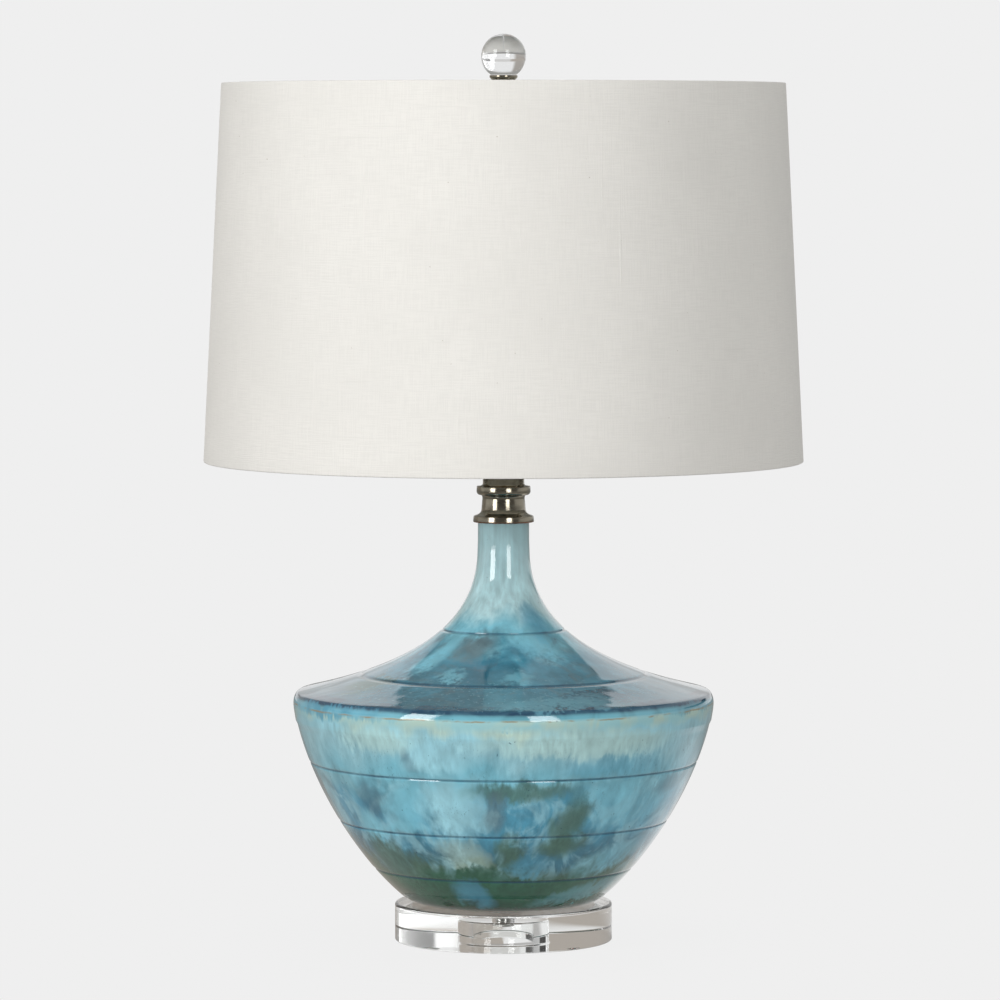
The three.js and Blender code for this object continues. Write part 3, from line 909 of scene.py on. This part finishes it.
class BuildRod(bpy.types.Operator):
    """Threads the rod that draws the lamp together, and makes its washer and nuts"""

    bl_idname = "lamp.build_rod"
    bl_label = "Rod and Nuts"

    def execute(self, context):
        ends = thread([(0.4, 18), (292, 313.6)], 4, sizes().fine_pitch, 0.55)
        tube = rounded([(3.2, 0), (4.85, 0), (4.85, 314), (3.2, 314)], 0.4)
        turned("lamp_rod", "threaded_rod", tube, **ends)
        turned("foot_washer", "base_washer", rounded([(BORE, 0), (14, 0), (14, 1), (BORE, 1)], 0.25))
        nut = rounded([(BORE, 0, 0.4), (7.1, 0), (8.4, 0.8), (8.4, 2.4), (7.1, 3.2), (BORE, 3.2, 0.4)], 0.12)
        turned("foot_nut", "base_nut", nut, across=14 * MM)
        turned("saddle_hex_nut", "saddle_nut", nut, across=14 * MM)
        return {"FINISHED"}


# ------------------------------------------------------------------ vase

FOOT_CURVE = (57, 27.5), (60.5, 27.6), (63.5, 28.2), (68.5, 31.5)
BELLY = (68.5, 31.5), (103.7, 60.9), (137, 119.4), (142.8, 164)
RIM = (141.35, 152), (142.3, 158.5), (144, 164.5), (141.5, 168.8)
ROLL = (141.5, 168.8), (141.1, 169.9), (140.4, 170.7), (139.5, 171)
NECK = (139.5, 171), (73.4, 186.2), (21.2, 210.2), (17.8, 262)
MOUTH = 290.2


def offset(points, depth):
    """The points moved to the inner side of their curve, by a depth that may change with the height."""
    moved = []
    for i, point in enumerate(points):
        ahead = Vector(points[min(i + 1, len(points) - 1)]) - Vector(points[max(i - 1, 0)])
        inward = Vector((-ahead.y, ahead.x)).normalized()
        moved.append(Vector(point) + inward * depth(point[1]))
    return moved


def groove(height):
    """The depth of the scored lines at a height."""
    width = sizes().groove_width / MM
    return sizes().groove_depth / MM * sum(math.exp(-((height - line) / width) ** 2) for line in GROOVES)


def vase_wall(curve, steps):
    """A stretch of the vase's outside, with more points beside a scored line."""
    near = 5 * sizes().groove_width / MM
    rough = spaced([(0, curve[0][1]), *bezier(*curve, steps)], lambda point: 0.3 if min(
        abs(point.y - line) for line in GROOVES) < near else 1e9)
    return offset([point for point in rough if point.x > 0], groove)


def belly_at(height):
    """The belly's radius at a height, and the direction that its surface faces there."""
    points = bezier(*BELLY, 400)
    here = next(i for i, point in enumerate(points) if point[1] >= height)
    ahead = Vector(points[here + 1]) - Vector(points[here])
    return points[here][0], Vector((0, ahead.y, -ahead.x)).normalized()


class BuildVase(bpy.types.Operator):
    """Turns the vase with its scored lines, bores the cord's hole, and sets the grommet and the bushing"""

    bl_idname = "lamp.build_vase"
    bl_label = "Vase"

    def execute(self, context):
        wall = sizes().wall / MM
        belly = [point for point in vase_wall(BELLY, 56) if point[1] < RIM[0][1] - 1]
        outside = [*bezier(*FOOT_CURVE, 6)[:-1], *belly, *bezier(*RIM, 20)[:-1], *bezier(*ROLL, 6)[:-1],
                   *vase_wall(NECK, 64), (17.4, 274)]
        inner_belly = offset(bezier(*BELLY, 24), lambda height: wall)[2:-1]
        inner_neck = offset(bezier(*NECK, 24), lambda height: wall - 1)[2:-1]
        mouth = (17.4, MOUTH - 0.8), (16.6, MOUTH), (14.2, MOUTH), (13.4, MOUTH - 0.8), (13.4, 266)
        outline = [(9, 27.5), *outside, *mouth, *reversed(inner_neck), *reversed(inner_belly),
                   (54, 33.5), (9, 33.5)]
        body = turned_mesh(finish_of("ceramic_vase"), outline, Matrix.Identity(4), sizes().large_sides)
        cord_height = 46.5
        radius, outward = belly_at(cord_height)
        hole = Vector((0, radius, cord_height))
        body = cut(body, bar(4.75, hole - outward * 14, hole + outward * 8))
        shaped("vase_body", body, "ceramic_vase")

        turn = UP.rotation_difference(outward).to_matrix().to_4x4()
        turned("cord_bush", "cord_grommet", rounded([
            (3.3, 0, 1), (5.3, 0), (5.3, 1.4), (4.45, 1.4), (4.45, 9.4), (7, 9.4), (6.4, 11.4, 0.8),
            (3.3, 11.4, 1),
        ], 0.3), place=Matrix.Translation((hole - outward * 9) * MM) @ turn)
        turned("neck_bush", "neck_bushing", rounded([(BORE, 0), (13.1, 0), (13.1, 11.8), (BORE, 11.8)], 0.6))
        return {"FINISHED"}


# ------------------------------------------------------------------ neck cap and saddle


class BuildNeckCap(bpy.types.Operator):
    """Turns the two nickel pieces that close the vase's neck"""

    bl_idname = "lamp.build_neck_cap"
    bl_label = "Neck Cap"

    def execute(self, context):
        large = sizes().large_sides
        skirt = [(19.8, 0), (20.4, 0.15), (20.6, 0.5), (20.62, 0.9), (20.35, 3.9), (20.3, 4.2), (19.9, 4.45)]
        waist = bezier((19.2, 4.8), (16.2, 5.5), (15.3, 6.9), (15, 8.8), 16)
        lip = bezier((14.35, 16), (14.3, 16.9), (14.5, 17.6), (14.9, 18.1), 8)
        turned("neck_cap", "vase_cap", [
            (18, 0), *skirt, *waist, *lip, (14.8, 18.3), (BORE, 18.3), (BORE, 4.7), (18, 4.7)], sides=large)
        band = [(16.6, 0), (17.3, 0.3), (17.9, 1), (18.3, 1.9), (18.33, 2.4), (18.17, 5.4), (18.12, 5.75),
                (17.8, 5.95), (16.2, 6.1)]
        collar = bezier((15.6, 6.2), (14.8, 6.4), (14.4, 6.8), (14.2, 7.5), 8)
        turned("neck_ring", "check_ring", [
            (BORE, 0), *band, *collar, (14.05, 10.5), (13.9, 10.85), (13.3, 11), (BORE, 11)], sides=large)
        return {"FINISHED"}


class BuildSaddle(bpy.types.Operator):
    """Bends the strap that holds the harp's legs"""

    bl_idname = "lamp.build_saddle"
    bl_label = "Harp Saddle"

    def execute(self, context):
        low, high = (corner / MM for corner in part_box("harp_saddle"))
        thick, bend = 1.5, 2.6
        reach, middle = high.x - thick / 2, low.z + thick / 2
        half = [Vector((x, 0, middle)) for x in (0, 6, 12, 18, 20, 22)]
        half += [Vector((reach - bend + bend * math.sin(a), 0, middle + bend - bend * math.cos(a)))
                 for a in (math.radians(step * 15) for step in range(7))]
        half += [Vector((reach, 0, z)) for z in (high.z - 8, high.z - 3, high.z - 1, high.z)]
        path = [Vector((-point.x, 0, point.z)) for point in reversed(half[1:])] + half
        section = (-1, -0.6), (-1, 0.6), (-0.96, 1), (0.96, 1), (1, 0.6), (1, -0.6), (0.96, -1), (-0.96, -1)
        rings = []
        for i, point in enumerate(path):
            along = (path[min(i + 1, len(path) - 1)] - path[max(i - 1, 0)]).normalized()
            out = along.cross(Vector((0, 1, 0)))
            narrow = min(1, max(0, (abs(point.x) - 17) / 5))
            width = high.y + (2.2 - high.y) * narrow * narrow * (3 - 2 * narrow)
            width -= max(0, point.z - high.z + 1) * 0.9
            rings.append([point + Vector((0, across * width, 0)) + out * (up * thick / 2)
                          for across, up in section])
        strap = lofted(rings, finish_of("harp_saddle"))
        shaped("saddle_strap", cut(strap, bar(BORE, (0, 0, low.z - 3), (0, 0, low.z + 5))), "harp_saddle")
        return {"FINISHED"}


# ------------------------------------------------------------------ socket and switch


class BuildSocket(bpy.types.Operator):
    """Makes the socket: cap, shell, liner, core, contacts and screws"""

    bl_idname = "lamp.build_socket"
    bl_label = "Socket"

    def execute(self, context):
        middle = sizes().middle_sides
        knob_height = middle_of("switch_stem").z
        knob_hole = 2.4, (0, -10, knob_height), (0, -22, knob_height)
        screw = middle_of("socket_set_screw")
        brass_finish, steel_finish = finish_of("socket_shell"), finish_of("socket_set_screw")

        cap = turned_mesh(brass_finish, rounded([
            (BORE, 0), (8.6, 0, 0.8), (8.6, 5), (14.5, 7.5), (17.7, 12), (17.7, 22, 0.3), (17, 22, 0.3),
            (17, 12.6), (14, 8.6), (BORE, 6.4),
        ], 1.6), seat("socket_cap"), middle)
        shaped("shell_cap", cut(cap, bar(1.7, (0, 4, screw.z), (0, 12, screw.z))), "socket_cap")

        beads = [bezier((16.7, z), (17.5, z + 0.6), (17.5, z + 2), (16.7, z + 2.6), 6) for z in (7, 31, 40)]
        shell = turned_mesh(brass_finish, [
            (16.4, 0), (16.7, 0.4), *beads[0], *beads[1], *beads[2],
            *bezier((16.7, 46.4), (17.6, 46.6), (17.7, 48.8), (16.6, 49), 8),
            *bezier((16.2, 48.6), (17.1, 48.2), (17.1, 47.1), (16.3, 46.8), 6), (16.2, 42), (16.2, 0.4),
        ], seat("socket_shell"), middle)
        shaped("lamp_shell", cut(shell, bar(*knob_hole)), "socket_shell")
        liner = turned_mesh(finish_of("socket_liner"), rounded([
            (15.2, 0), (15.9, 0), (15.9, 44), (15.2, 44)], 0.2), seat("socket_liner"), middle)
        shaped("shell_liner", cut(liner, bar(*knob_hole)), "socket_liner")

        core = turned_mesh(finish_of("socket_core"), rounded([
            (0, 0), (9, 0), (13.8, 5), (13.8, 20.6), (0, 20.6)], 0.9), seat("socket_core"), middle)
        side_height = middle_of("terminal_screw_1").z
        holes = [bar(2.2, (side * 8, 0, side_height), (side * 15, 0, side_height)) for side in (-1, 1)]
        shaped("switch_core", cut(core, *holes), "socket_core")
        turned("contact_dome", "centre_contact", [(0, 0), (3.7, 0), (4, 0.2), *bezier(
            (3.7, 0.7), (3, 1.9), (1.6, 2.2), (0, 2.2), 8)])
        sleeve = rounded([(13.4, 0), (13.9, 0), (13.9, 26.8), (13.4, 26.8)], 0.15)
        turned("lamp_thread", "screw_shell", sleeve, sides=middle,
               **thread([(1, 25.6)], 13, sizes().bulb_pitch, 0.4))

        for side, node in ((-1, "terminal_screw_1"), (1, "terminal_screw_2")):
            head = turned_mesh(finish_of(node), rounded([
                (0, 0), (1.5, 0), (1.5, 4.4), (1.9, 4.4), (1.9, 6, 0.5), (0, 6.3)], 0.2),
                seat(node, (side, 0, 0)), 48)
            slot = block((side * 14.9 - 1, -0.3, side_height - 3), (side * 14.9 + 1, 0.3, side_height + 3))
            shaped(f"side_screw_{'left' if side < 0 else 'right'}", cut(head, slot), node)
        pin = turned_mesh(steel_finish, rounded([(0, 0), (1.4, 0), (1.4, 4), (0, 4)], 0.2),
                          seat("socket_set_screw", (0, 1, 0)), 36, **thread([(0.3, 3.7)], 1, 0.7 * MM, 0.2))
        slot = block((-3, screw.y + 1.4, screw.z - 0.2), (3, screw.y + 3, screw.z + 0.2))
        shaped("cap_screw", cut(pin, slot), "socket_set_screw")
        return {"FINISHED"}


class BuildSwitch(bpy.types.Operator):
    """Turns the switch's stem and its fluted knob"""

    bl_idname = "lamp.build_switch"
    bl_label = "Switch Knob"

    def execute(self, context):
        front = (0, -1, 0)
        turned("knob_stem", "switch_stem", rounded([(0, 0), (2, 0), (2, 18.8), (0, 18.8)], 0.3),
               place=seat("switch_stem", front), sides=36)
        turned("knob_grip", "switch_knob", rounded([
            (0, 13.3), (2.2, 13.3), (2.2, 0), (4.6, 0), (5.4, 1.2), (5.4, 12.4), (4.4, 14.5, 1.2), (0, 14.5),
        ], 0.4), place=seat("switch_knob", front), sides=112,
            cut=lambda point: point.x > 4.9, fine=2, flutes=14, flute=0.9 * MM)
        return {"FINISHED"}


class BuildBulb(bpy.types.Operator):
    """Makes the bulb: contact, insulator, threaded base and globe"""

    bl_idname = "lamp.build_bulb"
    bl_label = "Bulb"

    def execute(self, context):
        middle = sizes().middle_sides
        turned("bulb_contact", "bulb_eyelet", [
            (0, 0), *bezier((0.6, 0), (3, 0), (4.4, 0.4), (4.4, 1), 6), (0, 1)])
        turned("bulb_glass_foot", "bulb_insulator", rounded([(0, 0), (8, 0), (11.6, 2.6), (0, 2.6)], 0.3))
        turned("bulb_cup", "bulb_base", rounded([
            (0, 0), (12.4, 0), (12.9, 1.5), (12.9, 21.2), (12.2, 21.2), (12.2, 0.8), (0, 0.8),
        ], 0.3), sides=middle, **thread([(1.8, 18.6)], 12.5, sizes().bulb_pitch, 0.9))
        dome = arc(30, 54.4, -36, 90, 40)
        throat = bezier((13.2, 0), (13.6, 10), (17.8, 27.9), dome[0], 14)
        glass = 1.2
        inside = offset([*throat[1:], *dome[1:-1]], lambda height: glass)
        turned("bulb_glass", "bulb_globe", [
            (0, dome[-1][1] - glass), *reversed(inside), (12, 0), *throat, *dome[1:]], sides=middle)
        return {"FINISHED"}


# ------------------------------------------------------------------ harp


class BuildHarp(bpy.types.Operator):
    """Bends the harp's wire, and turns its stud and its two ferrules"""

    bl_idname = "lamp.build_harp"
    bl_label = "Harp"

    def execute(self, context):
        low, high = (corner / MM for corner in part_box("harp_wire"))
        wire = (high.y - low.y) / 2
        leg, widest, top = 30, high.x - wire, high.z - wire
        flank = bezier((leg, 352), (leg, 384), (widest, 407), (widest, 452), 30)
        shoulder = bezier((widest, 452), (widest, 514), (34, top), (10, top), 40)
        right = [(leg, low.z), (leg, low.z + 16), *flank, *shoulder[1:], (4, top)]
        path = [(x, 0, z) for x, z in right] + [(-x, 0, z) for x, z in reversed(right)]
        nickel_finish = finish_of("harp_wire")
        shaped("harp_bow", wire_mesh(nickel_finish, path, wire), "harp_wire")

        details = thread([(10.8, 24.2)], 2.8, sizes().fine_pitch, 0.4)
        stud = turned_mesh(nickel_finish, rounded([
            (0, 0), (5.6, 0), (6, 1), (6, 8.6), (8.5, 9), (8.5, 10.6), (3.05, 10.6), (3.05, 24), (2.4, 25),
            (0, 25),
        ], 0.4), seat("harp_stud"), 72, **details)
        shaped("harp_top", cut(stud, bar(wire + 0.1, (-12, 0, top), (12, 0, top))), "harp_stud")
        for side in ("left", "right"):
            turned(f"sleeve_{side}", f"harp_ferrule_{side}", rounded([
                (4, 0, 0.2), (4.9, 0, 0.4), (4.9, 1.6), (4.7, 2.2), (4.7, 12.6), (4.9, 13.2),
                (4.9, 14.6, 0.4), (4, 14.6, 0.2),
            ], 0.3))
        return {"FINISHED"}


# ------------------------------------------------------------------ shade


def cone(height):
    """The shade's outside radius at a height, in millimetres."""
    low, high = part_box("shade_linen")
    share = (height * MM - low.z) / (high.z - low.z)
    return (high.x + (sizes().shade_top - high.x) * share) / MM


class BuildShade(bpy.types.Operator):
    """Makes the shade: cloth with turned-in hems and a lapped seam, lining, rings and spider"""

    bl_idname = "lamp.build_shade"
    bl_label = "Shade"

    def execute(self, context):
        low, high = (corner.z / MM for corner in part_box("shade_linen"))
        cloth, hem, large = sizes().cloth / MM, sizes().hem / MM, sizes().large_sides
        roll = 0.9

        def fold(edge, side):
            """The rounded fold at one edge of the cloth, from the outside to the hem."""
            reach = cone(edge)
            return [*bezier((reach, edge - side * roll), (reach, edge - side * roll * 0.4),
                            (reach - roll * 0.4, edge), (reach - roll, edge), 6), (reach - hem, edge)]

        heights = [low + (high - low) * i / 24 for i in range(1, 24)]
        outer = list(reversed(fold(low, -1))) + [(cone(z), z) for z in heights] + fold(high, 1)
        inner = [(cone(high) - hem, high - cloth), (cone(high) - cloth - 0.8, high - cloth),
                 (cone(high) - cloth, high - cloth - 0.8), (cone(low) - cloth, low + cloth + 0.8),
                 (cone(low) - cloth - 0.8, low + cloth), (cone(low) - hem, low + cloth)]
        place = Matrix.Identity(4)
        linen_finish = finish_of("shade_linen")
        cover = turned_mesh(linen_finish, outer + inner, place, large)
        drum = shaped("shade_cover", cover, "shade_linen")
        slant = math.hypot(high - low, cone(low) - cone(high))
        flat = (math.tau * cone(low) * MM, (slant + 2 * hem) * MM)

        shaped("shade_seam", self.seam_mesh(low, high, linen_finish), "shade_linen")

        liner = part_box("shade_liner")
        bottom, top = liner[0].z / MM, liner[1].z / MM
        gap = cloth + 0.3
        turned("shade_lining", "shade_liner", rounded([
            (cone(bottom) - gap - 0.6, bottom), (cone(bottom) - gap, bottom),
            (cone(top) - gap, top), (cone(top) - gap - 0.6, top)], 0.15), place=place, sides=large)

        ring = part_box("bottom_ring")
        wire = (ring[1].z - ring[0].z) / 2 / MM
        steel_finish = finish_of("bottom_ring")
        circle = hoop(ring[1].x / MM - wire, ring[0].z / MM + wire)
        shaped("shade_ring", wire_mesh(steel_finish, circle, wire, closed=True), "bottom_ring")

        frame_low, frame_high = (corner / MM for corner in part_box("spider"))
        rim, rim_height = frame_high.x - wire, frame_high.z - wire
        washer = turned_mesh(steel_finish, rounded([(3.6, 0), (13, 0), (13, 1.8), (3.6, 1.8)], 0.5),
                             seat("spider"), 72)
        arm_wire = 1.5
        level = frame_low.z + arm_wire
        arm = [(0, 10.6, level), (0, 60, level), (0, 140, level), *[(0, y, z) for y, z in bezier(
            (140, level), (162, level), (rim - 14, level + 1), (rim, rim_height), 12)][1:]]
        arms = kept(setting_round).run(wire_mesh(steel_finish, arm, arm_wire), steel_finish, Copies=3)
        rim_hoop = wire_mesh(steel_finish, hoop(rim, rim_height), wire, closed=True)
        shaped("shade_spider", joined(washer, arms, rim_hoop), "spider")
        return {"FINISHED"}

    def seam_mesh(self, low, high, material):
        """The strip where the cloth laps over itself at the back, with its edges turned under."""
        section = (-0.5, -0.1), (-0.47, 0.6), (-0.42, 1), (0, 0.8), (0.42, 0.5), (0.47, 0.3), (0.5, -0.1)
        width, proud, inset, steps = sizes().seam / MM, 0.35, 0.3, 40
        rings = []
        for i in range(steps + 1):
            height = low + inset + (high - low - 2 * inset) * i / steps
            ring = []
            for across, out in section:
                angle = math.pi / 2 + across * width / cone(height)
                reach = cone(height) + out * proud
                ring.append(Vector((reach * math.cos(angle), reach * math.sin(angle), height)))
            rings.append(ring)
        return lofted(rings, material)


# ------------------------------------------------------------------ finial


class BuildFinial(bpy.types.Operator):
    """Turns the finial: threaded insert, nickel cup and clear ball"""

    bl_idname = "lamp.build_finial"
    bl_label = "Finial"

    def execute(self, context):
        turned("finial_thread", "finial_insert",
               rounded([(3.35, 0), (4.15, 0), (4.15, 12.8), (3.35, 12.8)], 0.2))
        stem = bezier((6.4, 0), (7.3, 1.2), (5.9, 3), (5.8, 6), 10)
        flare = bezier((5.8, 6), (5.8, 10), (6.8, 12.4), (8.6, 14.6), 12)
        turned("finial_cup", "finial_base", [
            (0, 13.1), (4.4, 13.1), (4.4, 0), *stem, *flare[1:], (9.2, 15.1), (9.5, 15.6), (9.5, 16.6),
            (9.2, 17), (0, 17)], sides=sizes().middle_sides)
        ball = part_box("finial_ball")
        radius = ball[1].x / MM
        centre = (ball[1].z - ball[0].z) / MM - radius
        lowest = math.degrees(math.asin(-centre / radius))
        outline = arc(radius, centre, lowest, 90, 56)
        turned("finial_globe", "finial_ball", rounded([(0, 0), *outline], 0.4), sides=128)
        return {"FINISHED"}


# ------------------------------------------------------------------ stage


def tones_by_turn(graph, turn, stops):
    """Greys by turn: each stop holds its turn in degrees, its level, and its blue's share of that level."""
    return graph.ramp(turn, [(place, (level, level * (1 + warmth) / 2, level * warmth))
                             for place, level, warmth in stops])


def sky(graph):
    """The studio's light by direction: a white backdrop, darker walls and low cards, and a dim front."""
    x, y, z = graph.split(graph.node("ShaderNodeTexCoord").outputs["Generated"])
    turn = graph.math("ARCTAN2", x, y) * math.degrees(1)
    rise = graph.math("ARCSINE", z) * math.degrees(1)
    walls = tones_by_turn(graph, turn, [
        (-180, 0.14, 0.94), (-128, 0.15, 0.94), (-118, 0.72, 1), (-72, 0.72, 1), (-64, 0.4, 0.86),
        (-26, 0.4, 0.86), (-18, 0.86, 1), (30, 0.86, 1), (36, 0.66, 1), (74, 0.62, 1), (112, 0.56, 1),
        (124, 0.14, 0.94), (180, 0.14, 0.94)])
    low_cards = tones_by_turn(graph, turn, [
        (-180, 0.1, 0.92), (-90, 0.34, 0.86), (-74, 0.42, 0.82), (-16, 0.42, 0.82), (-11, 0.66, 0.97),
        (16, 0.66, 0.97), (19, 0.85, 1), (27, 0.85, 1), (29, 0.05, 1), (60, 0.05, 1), (64, 0.5, 1),
        (180, 0.1, 0.92)])
    tone = graph.mix(walls, low_cards, graph.band(rise, 6, 10.5, 0.8))
    return graph.mix(tone, (0.36, 0.355, 0.34), graph.step(rise, 31, 40))


def floor_tone(graph, x, y):
    """What the floor shows to everything but the camera, by its turn from the lamp's back."""
    turn = graph.math("ARCTAN2", x, y) * math.degrees(1)
    return tones_by_turn(graph, turn, [
        (-180, 0.36, 0.95), (-96, 0.38, 0.9), (-76, 0.42, 0.82), (-4, 0.42, 0.82), (0, 0.7, 0.97),
        (5, 0.84, 1), (62, 0.84, 1), (80, 0.45, 0.97), (180, 0.36, 0.95)])


def softbox(name, turn, distance, width, low, high, radiance):
    """An upright soft light, at a turn from the lamp's front in degrees."""
    light = bpy.data.lights.new(name, "AREA")
    light.shape = "RECTANGLE"
    light.size, light.size_y = width, high - low
    light.energy = radiance * math.pi * width * (high - low)
    softlight = add_object(name, light)
    angle = math.radians(turn)
    place = Vector((math.sin(angle), -math.cos(angle), 0)) * distance + UP * (low + high) / 2
    softlight.location = place
    softlight.rotation_euler = Vector((place.x, place.y, 0)).to_track_quat("Z", "Y").to_euler()
    softlight.visible_camera = False


class BuildStage(bpy.types.Operator):
    """Sets the camera, the floor, the studio's light and the two soft lights"""

    bl_idname = "lamp.build_stage"
    bl_label = "Stage"

    def execute(self, context):
        scene = context.scene
        camera = add_object("camera", bpy.data.cameras.new("camera"))
        camera.data.lens = LENS
        camera.data.clip_end = 60
        camera.location = EYE
        camera.rotation_euler = (math.radians(90 - TILT), 0, 0)
        scene.camera = camera
        scene.view_settings.view_transform = "Standard"
        scene.cycles.use_denoising = True

        scene.world = bpy.data.worlds.new("studio")
        scene.world.use_nodes = True
        graph = Graph(scene.world.node_tree)
        paper = (PAPER, PAPER, PAPER)
        seen = graph.node("ShaderNodeLightPath").outputs["Is Camera Ray"]
        graph.feed(graph.tree.nodes["Background"].inputs["Color"], graph.mix(sky(graph), paper, seen))

        floor = Finish("paper_floor", {"Roughness": 1, "Specular IOR Level": 0, "Emission Strength": 1})
        x, y, _ = floor.split(floor.place)
        far = (x * x + y * y) ** 0.5
        near = (1 - floor.step(far, 0.08, 0.22)) * 0.02
        floor.set("Base Color", floor.dim((1, 1, 1), near))
        seen = floor.node("ShaderNodeLightPath").outputs["Is Camera Ray"]
        tone = floor.mix(floor_tone(floor, x, y), (0.27, 0.27, 0.26), floor.step(far, 0.35, 0.8))
        tone = floor.mix(tone, floor.dim(paper, 1 - near), seen)
        floor.set("Emission Color", tone)
        floor.set("Alpha", 1 - Value(floor, floor.node("ShaderNodeNewGeometry").outputs["Backfacing"]))
        half = sizes().floor / MM
        mesh = mesh_of([(-half, -half, 0), (half, -half, 0), (half, half, 0), (-half, half, 0)],
                       faces=[(0, 1, 2, 3)])
        mesh.materials.append(floor.material)
        add_object("floor", mesh)

        softbox("left_softbox", -47, 3, 1.05, 0.2, 2.5, 7.5)
        softbox("right_softbox", 22, 3, 0.9, 0.2, 2.5, 6)
        return {"FINISHED"}


# ------------------------------------------------------------------ the add-on

BUILDERS = (BuildStage, BuildFoot, BuildRod, BuildVase, BuildNeckCap, BuildSaddle, BuildSocket, BuildSwitch,
            BuildBulb, BuildHarp, BuildShade, BuildFinial)


class LampPanel(bpy.types.Panel):
    """The lamp's sizes, colours and building steps"""

    bl_idname = "VIEW3D_PT_lamp"
    bl_label = "Table Lamp"
    bl_space_type = "VIEW_3D"
    bl_region_type = "UI"
    bl_category = "Lamp"

    def draw(self, context):
        for builder in BUILDERS:
            self.layout.operator(builder.bl_idname)
        for group in (sizes(), colours()):
            column = self.layout.column()
            for key in group.__annotations__:
                column.prop(group, key)


def register():
    for made in (LampSizes, LampColours, *BUILDERS, LampPanel):
        bpy.utils.register_class(made)
    bpy.types.Scene.lamp_sizes = bpy.props.PointerProperty(type=LampSizes)
    bpy.types.Scene.lamp_colours = bpy.props.PointerProperty(type=LampColours)


def unregister():
    del bpy.types.Scene.lamp_colours
    del bpy.types.Scene.lamp_sizes
    for made in (LampPanel, *reversed(BUILDERS), LampColours, LampSizes):
        bpy.utils.unregister_class(made)


def main():
    register()
    for builder in BUILDERS:
        getattr(bpy.ops.lamp, builder.bl_idname.split(".")[1])()


if __name__ == "__main__":
    main()
